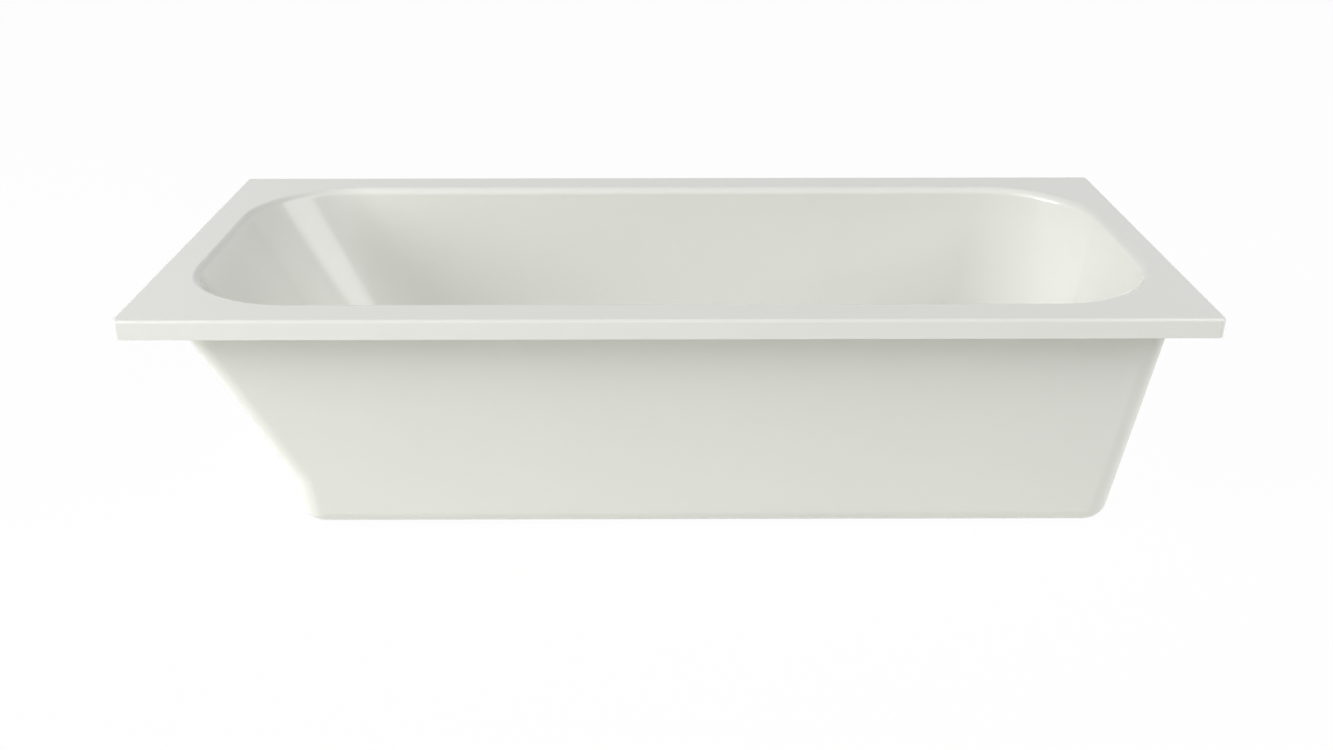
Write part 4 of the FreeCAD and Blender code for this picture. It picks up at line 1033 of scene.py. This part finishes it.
class BATHTUB_OT_screws(bpy.types.Operator):
    """Screws of the casing's flange, the bars and the stays"""
    bl_idname = "bathtub.screws"
    bl_label = "Screws"

    def execute(self, context):
        s = sizes("shell")
        c = sizes("screws")
        steel = zinc_plate()
        half_x, half_y = s.rim_length / 2, s.rim_width / 2
        outermost, side = half_x - c.casing_inset, half_y - c.side_inset
        end_row = half_y - c.end_row_inset
        bar = half_x - sizes("feet").inset_x
        corners = [(part, way) for part in (-1, 1) for way in (-1, 1)]
        casing = [(outermost * part, y) for y in (-side, side) for part in (-1, -0.5, 0, 0.5, 1)]
        casing += [(x, way * end_row) for x in (-c.head_row, half_x - c.end_inset) for way in (-1, 1)]
        rows = [part * (bar + way * c.bar_offset) for part, way in corners]
        board = [(x, way * (half_y - c.bar_inset)) for x in rows for way in (-1, 1)]
        upper, lower = ([(part * bar, way * out) for part, way in corners]
                        for out in (c.stay_upper, c.stay_lower))
        flange = flange_top() - sizes("casing").wall
        for node, sets in (("casing_screws", [(casing, flange, c.casing_length)]),
                           ("bar_screws", [(board, c.bar_face, c.bar_length)]),
                           ("stay_screws", [(upper, c.stay_face, c.stay_length),
                                            (lower, sizes("casing").lift, c.stay_length)])):
            pieces = []
            for places, face, under_head in sets:
                screw = self.screw(under_head)
                pieces += [copy_to(screw, "screw", x, y, face - c.head_thick) for x, y in places]
                discard(screw)
            hand_over(merge(pieces, node + "_dressed"), "tub", steel, [node])
        return {"FINISHED"}

    def screw(self, under_head):
        """Domed head with a cross in it, and a threaded shank that runs to a point."""
        c = sizes("screws")
        flat, dome = c.head * 0.55, c.head * 0.85
        tip = c.head_thick + under_head
        shank = threaded(c.shank, c.thread_pitch, c.head_thick, tip - 2 * c.shank)
        piece = lathe("screw", [(0, 0), (flat, 0.05 * c.head_thick), (dome, 0.4 * c.head_thick),
                                (c.head, 0.8 * c.head_thick), (c.head, c.head_thick), *shank, (0, tip)],
                      sides=24, closed=False)
        wide, narrow = c.head * 0.5, c.head * 0.12
        for x, y in ((wide, narrow), (narrow, wide)):
            combine(piece, block("cross", (-x, -y, -c.head_thick), (x, y, c.recess)))
        return piece


class BATHTUB_OT_waste(bpy.types.Operator):
    """Waste ring with its spider, its seals, the trap and the dip tube"""
    bl_idname = "bathtub.waste"
    bl_label = "Waste and trap"

    def execute(self, context):
        s = sizes("shell")
        w = sizes("waste")
        x = waste_place()
        rubber = black_rubber()
        plastic = white_polypropylene()
        low = recess_floor()
        outer = w.ring_radius - w.gasket_inset
        ring_low = low + w.gasket_thick
        upper = self.seal("waste_seal", outer - w.gasket_width, outer, low, ring_low)
        hand_over(upper, "tub", rubber, ["waste_gasket"])
        back = low - s.wall
        top = back - w.lower_gasket
        lower = self.seal("trap_seal", s.drain_hole, w.trap_flange - w.gasket_inset, top, back)
        hand_over(lower, "tub", rubber, ["trap_gasket"])
        hand_over(self.waste_ring(x, ring_low), "tub", chrome_plate(), ["waste_flange"])
        hand_over(self.trap(x, top), "tub", plastic, ["trap_body"])
        seat = w.dip_seat
        inside = w.dip_radius - w.dip_wall
        tube = lathe("dip_tube", [(inside, w.dip_end), (w.dip_radius, w.dip_end), (w.dip_radius, seat),
                                  (w.tail_radius, seat), (w.tail_radius, seat + w.collar_thick),
                                  (inside, seat + w.collar_thick)], x)
        hand_over(soften(tube, 0.4 * MM), "tub", plastic, ["trap_insert"])
        return {"FINISHED"}

    @staticmethod
    def seal(name, inner, outer, low, high):
        """A flat ring with rounded edges and two raised beads on each face."""
        width = outer - inner
        bead = 0.2 * MM
        middles, half = (0.25, 0.7), 0.06       # the beads' places and half widths, as parts of width
        beads = [(inner + width * (part + aside), aside) for part in middles for aside in (-half, 0, half)]
        above = [(radius, high - bead if aside else high) for radius, aside in beads]
        below = [(radius, low + bead if aside else low) for radius, aside in reversed(beads)]
        outline = [(inner, low + bead), (inner, high - bead), *above,
                   (outer, high - bead), (outer, low + bead), *below]
        return lathe(name, outline, waste_place(), sides=96)

    @staticmethod
    def waste_ring(x, ring_low):
        """The bevelled ring with its threaded tail, and four spokes that hold the hub."""
        w = sizes("waste")
        bore = w.tail_radius - w.tail_wall
        top = ring_low + w.ring_thick
        tail_end = ring_low - w.tail_length
        thread = threaded(w.tail_radius, w.tail_pitch, tail_end, ring_low - w.tail_pitch)
        bevel = w.ring_bevel
        ring = lathe("waste_ring", [(bore, tail_end), *thread, (w.tail_radius, ring_low),
                                    (w.ring_radius, ring_low), (w.ring_radius, top - bevel),
                                    (w.ring_radius - bevel, top), (bore + bevel, top), (bore, top - bevel)],
                     x, sides=96)
        hub_top = top - w.hub_drop
        hub_low = hub_top - w.hub_height
        spider = cylinder("hub", w.hub_radius, hub_low, hub_top, x, 0, 64)
        reach = w.tail_radius - w.tail_wall / 2
        for half_x, half_y in ((reach, w.spoke / 2), (w.spoke / 2, reach)):
            spoke = block("spoke", (x - half_x, -half_y, hub_low), (x + half_x, half_y, hub_top))
            combine(spider, spoke, "UNION")
        combine(spider, cylinder("hub_bore", w.hub_bore, hub_low - 1 * MM, hub_top + 1 * MM, x, 0, 64))
        soften(spider, 0.4 * MM, 2, 50)
        return merge([ring, spider], "waste_ring")

    @staticmethod
    def trap(x, top):
        """Bowl with a rounded bottom, a flange, and a threaded outlet towards the back."""
        w = sizes("waste")
        flange_low = top - w.trap_flange_thick
        shoulder = flange_low - w.trap_shoulder
        bowl = w.trap_radius - w.trap_wall
        neck = w.tail_radius + w.fit_gap
        edge = 0.6 * MM
        turned = quarter(w.trap_radius - w.trap_round, w.trap_lift + w.trap_round, w.trap_round, -90)
        outline = [(0, w.trap_lift), *turned, (w.trap_radius, shoulder), (w.trap_flange, flange_low),
                   (w.trap_flange, top - edge), (w.trap_flange - edge, top), (0, top)]
        outside = lathe("trap", outline, x, closed=False, sides=96)
        thread = threaded(w.outlet_radius, w.tail_pitch, w.outlet_start, w.outlet_end)
        outlet = lathe("outlet", [(0, w.outlet_start), *thread, (0, w.outlet_end)],
                       x, 0, w.outlet_height, "Y", 64, False)
        combine(outside, outlet, "UNION")
        low = w.trap_lift + w.trap_wall
        roof = flange_low - w.trap_wall
        seat_low = w.dip_seat - w.trap_seat
        above = top + w.trap_wall
        outer_neck = neck + w.trap_wall
        hollow = lathe("hollow", [(0, low), (bowl, low), (bowl, shoulder - w.trap_wall / 2),
                                  (w.trap_flange - w.trap_wall / 2, roof), (outer_neck, roof),
                                  (outer_neck, seat_low), (w.seat_radius, seat_low),
                                  (w.seat_radius, w.dip_seat), (neck, w.dip_seat), (neck, above),
                                  (0, above)], x, closed=False, sides=96)
        end = w.outlet_end + w.trap_wall
        seat = w.pipe_radius + w.fit_gap
        way = lathe("way", [(0, w.outlet_start), (w.outlet_bore, w.outlet_start),
                            (w.outlet_bore, w.pipe_start), (seat, w.pipe_start), (seat, end), (0, end)],
                    x, 0, w.outlet_height, "Y", 64, False)
        combine(outside, combine(hollow, way, "UNION"))
        return outside


class BATHTUB_OT_outlet(bpy.types.Operator):
    """Outlet washer, its nut and the waste pipe with its socket"""
    bl_idname = "bathtub.outlet"
    bl_label = "Outlet pipe"

    def execute(self, context):
        w = sizes("waste")
        x = waste_place()
        z = w.outlet_height
        rubber = black_rubber()
        plastic = white_polypropylene()
        drawn = moulded("pipe_extruded_white", sizes("colours").pipe, 0.24, 0.36, 500.0, 0.02 * MM)
        near, far = w.outlet_end, w.outlet_end + w.washer_thick
        washer = lathe("washer", [(w.pipe_radius, near), (w.outlet_radius, near), (w.outlet_radius, far),
                                  (w.pipe_radius, far)], x, 0, z, "Y", 64)
        hand_over(soften(washer, 0.4 * MM), "tub", rubber, ["outlet_washer"])
        hand_over(self.nut(x, z), "tub", plastic, ["outlet_nut"])
        hand_over(self.pipe(x, z), "tub", drawn, ["waste_pipe"])
        return {"FINISHED"}

    @staticmethod
    def nut(x, z):
        """A round nut with twelve grip flutes that stop short of its lip."""
        w = sizes("waste")
        end = w.outlet_end + w.washer_thick + w.nut_lip
        begin = end - w.nut_length
        inside = w.outlet_radius + w.fit_gap
        mouth = w.pipe_radius + w.fit_gap
        piece = lathe("nut", [(inside, begin), (w.nut_radius, begin), (w.nut_radius, end), (mouth, end),
                              (mouth, end - w.nut_lip), (inside, end - w.nut_lip)], x, 0, z, "Y", 96)
        soften(piece, 0.6 * MM, 3, 35)
        near, far = begin - 1 * MM, end - w.nut_lip / 2
        outline = [(0, near), (w.nut_flute, near), (w.nut_flute, far), (0, far)]
        flutes = []
        for step in range(12):
            turn = radians(15 + 30 * step)
            flutes.append(lathe("flute", outline, x + w.nut_radius * cos(turn), 0,
                                z + w.nut_radius * sin(turn), "Y", 24, False))
        combine(piece, merge(flutes, "flutes"))
        return piece

    @staticmethod
    def pipe(x, z):
        """A pipe that widens into a socket with a bead round its mouth."""
        w = sizes("waste")
        inside = w.pipe_radius - w.pipe_wall
        socket = w.pipe_radius + w.mouth_gap
        mouth = w.pipe_end - w.mouth_depth
        outer = socket + w.mouth_wall
        piece = lathe("pipe", [(inside, w.pipe_start), (w.pipe_radius, w.pipe_start),
                               (w.pipe_radius, mouth - 2 * w.mouth_wall), (outer, mouth - w.mouth_wall),
                               (outer, w.pipe_end), (socket, w.pipe_end), (socket, mouth), (inside, mouth)],
                      x, 0, z, "Y", 96)
        return soften(piece, 0.6 * MM, 3, 20)


class BATHTUB_OT_plug(bpy.types.Operator):
    """Push-to-open plug: cap, seal and stem, with the latch sleeve it slides in"""
    bl_idname = "bathtub.plug"
    bl_label = "Plug"

    def execute(self, context):
        w = sizes("waste")
        x = waste_place()
        low = w.cap_bottom
        top = low + w.cap_thick
        polish = chrome_plate()
        edge = 0.3 * MM
        outline = [(0, low), (w.cap_radius - edge, low), (w.cap_radius, low + edge)]
        outline += quarter(w.cap_radius - w.cap_round, top - w.cap_round, w.cap_round, 0) + [(0, top)]
        cap = lathe("plug_disc", outline, x, closed=False, sides=128)
        hand_over(cap, "plug", polish, ["plug_cap"])
        rubber = black_rubber()
        under, slant = low - w.seal_thick, w.seal_thick / 2
        seal = lathe("plug_ring", [(w.seal_inner, under), (w.seal_outer - slant, under),
                                   (w.seal_outer, low - slant), (w.seal_outer, low), (w.seal_inner, low)],
                     x, sides=96)
        hand_over(soften(seal, 0.3 * MM, 2, 25), "plug", rubber, ["plug_seal"])
        bottom = low - w.stem_length
        stop = bottom + w.stem_head_thick
        stem = lathe("plug_rod", [(0, bottom), (w.stem_head, bottom), (w.stem_head, stop),
                                  (w.stem_radius, stop), (w.stem_radius, low), (0, low)],
                     x, closed=False, sides=48)
        brass = turned_brass()
        hand_over(soften(stem, 0.3 * MM, 2, 40), "plug", brass, ["plug_stem"])
        hub_top = recess_floor() + w.gasket_thick + w.ring_thick - w.hub_drop
        bore = w.stem_radius + w.stem_gap
        outer = bore + w.latch_wall
        collar_top = hub_top + w.latch_collar
        bottom = collar_top - w.latch_length
        sleeve = lathe("latch_sleeve", [(bore, bottom), (outer, bottom), (outer, hub_top),
                                        (w.hub_radius, hub_top), (w.hub_radius, collar_top),
                                        (bore, collar_top)], x, sides=64)
        hand_over(soften(sleeve, 0.3 * MM, 2, 40), "tub", brass, ["plug_latch"])
        return {"FINISHED"}


class BATHTUB_OT_stage(bpy.types.Operator):
    """Floor, backdrop light, lamps and camera"""
    bl_idname = "bathtub.stage"
    bl_label = "Stage"

    def execute(self, context):
        s = sizes("stage")
        ground = start(bpy.ops.mesh.primitive_plane_add, "stage_ground", size=s.ground_size)
        ground.data.materials.append(self.paper())
        self.backdrop()
        aim = Vector((0, 0, s.aim))
        for name, place, size, power in LAMPS:
            lamp = bpy.data.objects.new(name, bpy.data.lights.new(name, "AREA"))
            lamp.data.shape = "DISK"
            lamp.data.size = size
            lamp.data.energy = power
            lamp.location = place
            lamp.rotation_euler = (aim - Vector(place)).to_track_quat("-Z", "Y").to_euler()
            context.scene.collection.objects.link(lamp)
        camera = bpy.data.objects.new("stage_camera", bpy.data.cameras.new("stage_camera"))
        camera.data.sensor_width = 36.0
        camera.data.lens = s.lens
        turned = Matrix.Rotation(-s.yaw, 3, "Z") @ Matrix.Rotation(pi / 2 - s.pitch, 3, "X")
        turned = turned @ Matrix.Rotation(-s.roll, 3, "Z")
        camera.matrix_world = Matrix.Translation(s.eye) @ turned.to_4x4()
        context.scene.collection.objects.link(camera)
        context.scene.camera = camera
        context.scene.view_settings.view_transform = "Standard"
        return {"FINISHED"}

    @staticmethod
    def seen(tree):
        """1 where a ray comes straight from the camera, or off a mirror or through glass."""
        path = tree.nodes.new("ShaderNodeLightPath").outputs
        direct = combined(tree, "MAXIMUM", path["Is Camera Ray"], path["Is Glossy Ray"])
        return combined(tree, "MAXIMUM", direct, path["Is Transmission Ray"])

    def paper(self):
        """Matt white paper roll: it keeps a soft shadow, and is as bright as the backdrop beside it."""
        made, tree, shader, place = new_finish("paper_matt", Roughness=0.9)
        fibres = noise(tree, place, 40.0, 4.0)
        cover(tree, shader, tones(tree, fibres, sizes("colours").ground, 0.99, 1.01))
        glow = add(tree, "ShaderNodeEmission", {"Color": (1, 1, 1, 1), "Strength": 1.0})
        share = combined(tree, "MULTIPLY", self.seen(tree), PAPER_GLOW)
        mixed = add(tree, "ShaderNodeMixShader", {0: share, 1: shader.outputs["BSDF"],
                                                  2: glow.outputs["Emission"]})
        tree.links.new(mixed.outputs["Shader"], tree.nodes["Material Output"].inputs["Surface"])
        return made

    def backdrop(self):
        world = bpy.data.worlds.new("stage_backdrop")
        bpy.context.scene.world = world
        world.use_nodes = True
        tree = world.node_tree
        background = tree.nodes["Background"]
        background.inputs["Color"].default_value = (1, 1, 1, 1)
        light = span(tree, self.seen(tree), 0.0, 1.0, SKY_LIGHT, 1.0)
        tree.links.new(light, background.inputs["Strength"])


OPERATORS = (BATHTUB_OT_shell, BATHTUB_OT_casing, BATHTUB_OT_timber, BATHTUB_OT_frame, BATHTUB_OT_feet,
             BATHTUB_OT_screws, BATHTUB_OT_waste, BATHTUB_OT_outlet, BATHTUB_OT_plug, BATHTUB_OT_stage)


class BATHTUB_PT_sidebar(bpy.types.Panel):
    """Lists the pieces of the bathtub"""
    bl_idname = "BATHTUB_PT_sidebar"
    bl_label = "Alcove bathtub"
    bl_space_type = "VIEW_3D"
    bl_region_type = "UI"
    bl_category = "Bathtub"

    def draw(self, context):
        for operator in OPERATORS:
            self.layout.operator(operator.bl_idname)


def register():
    for name, group in GROUPS.items():
        bpy.utils.register_class(group)
        setattr(bpy.types.Scene, "bathtub_" + name, bpy.props.PointerProperty(type=group))
    for operator in OPERATORS:
        bpy.utils.register_class(operator)
    bpy.utils.register_class(BATHTUB_PT_sidebar)


def unregister():
    bpy.utils.unregister_class(BATHTUB_PT_sidebar)
    for operator in reversed(OPERATORS):
        bpy.utils.unregister_class(operator)
    for name, group in GROUPS.items():
        delattr(bpy.types.Scene, "bathtub_" + name)
        bpy.utils.unregister_class(group)


def main():
    register()
    for operator in OPERATORS:
        group, name = operator.bl_idname.split(".")
        getattr(getattr(bpy.ops, group), name)()


if __name__ == "__main__":
    main()
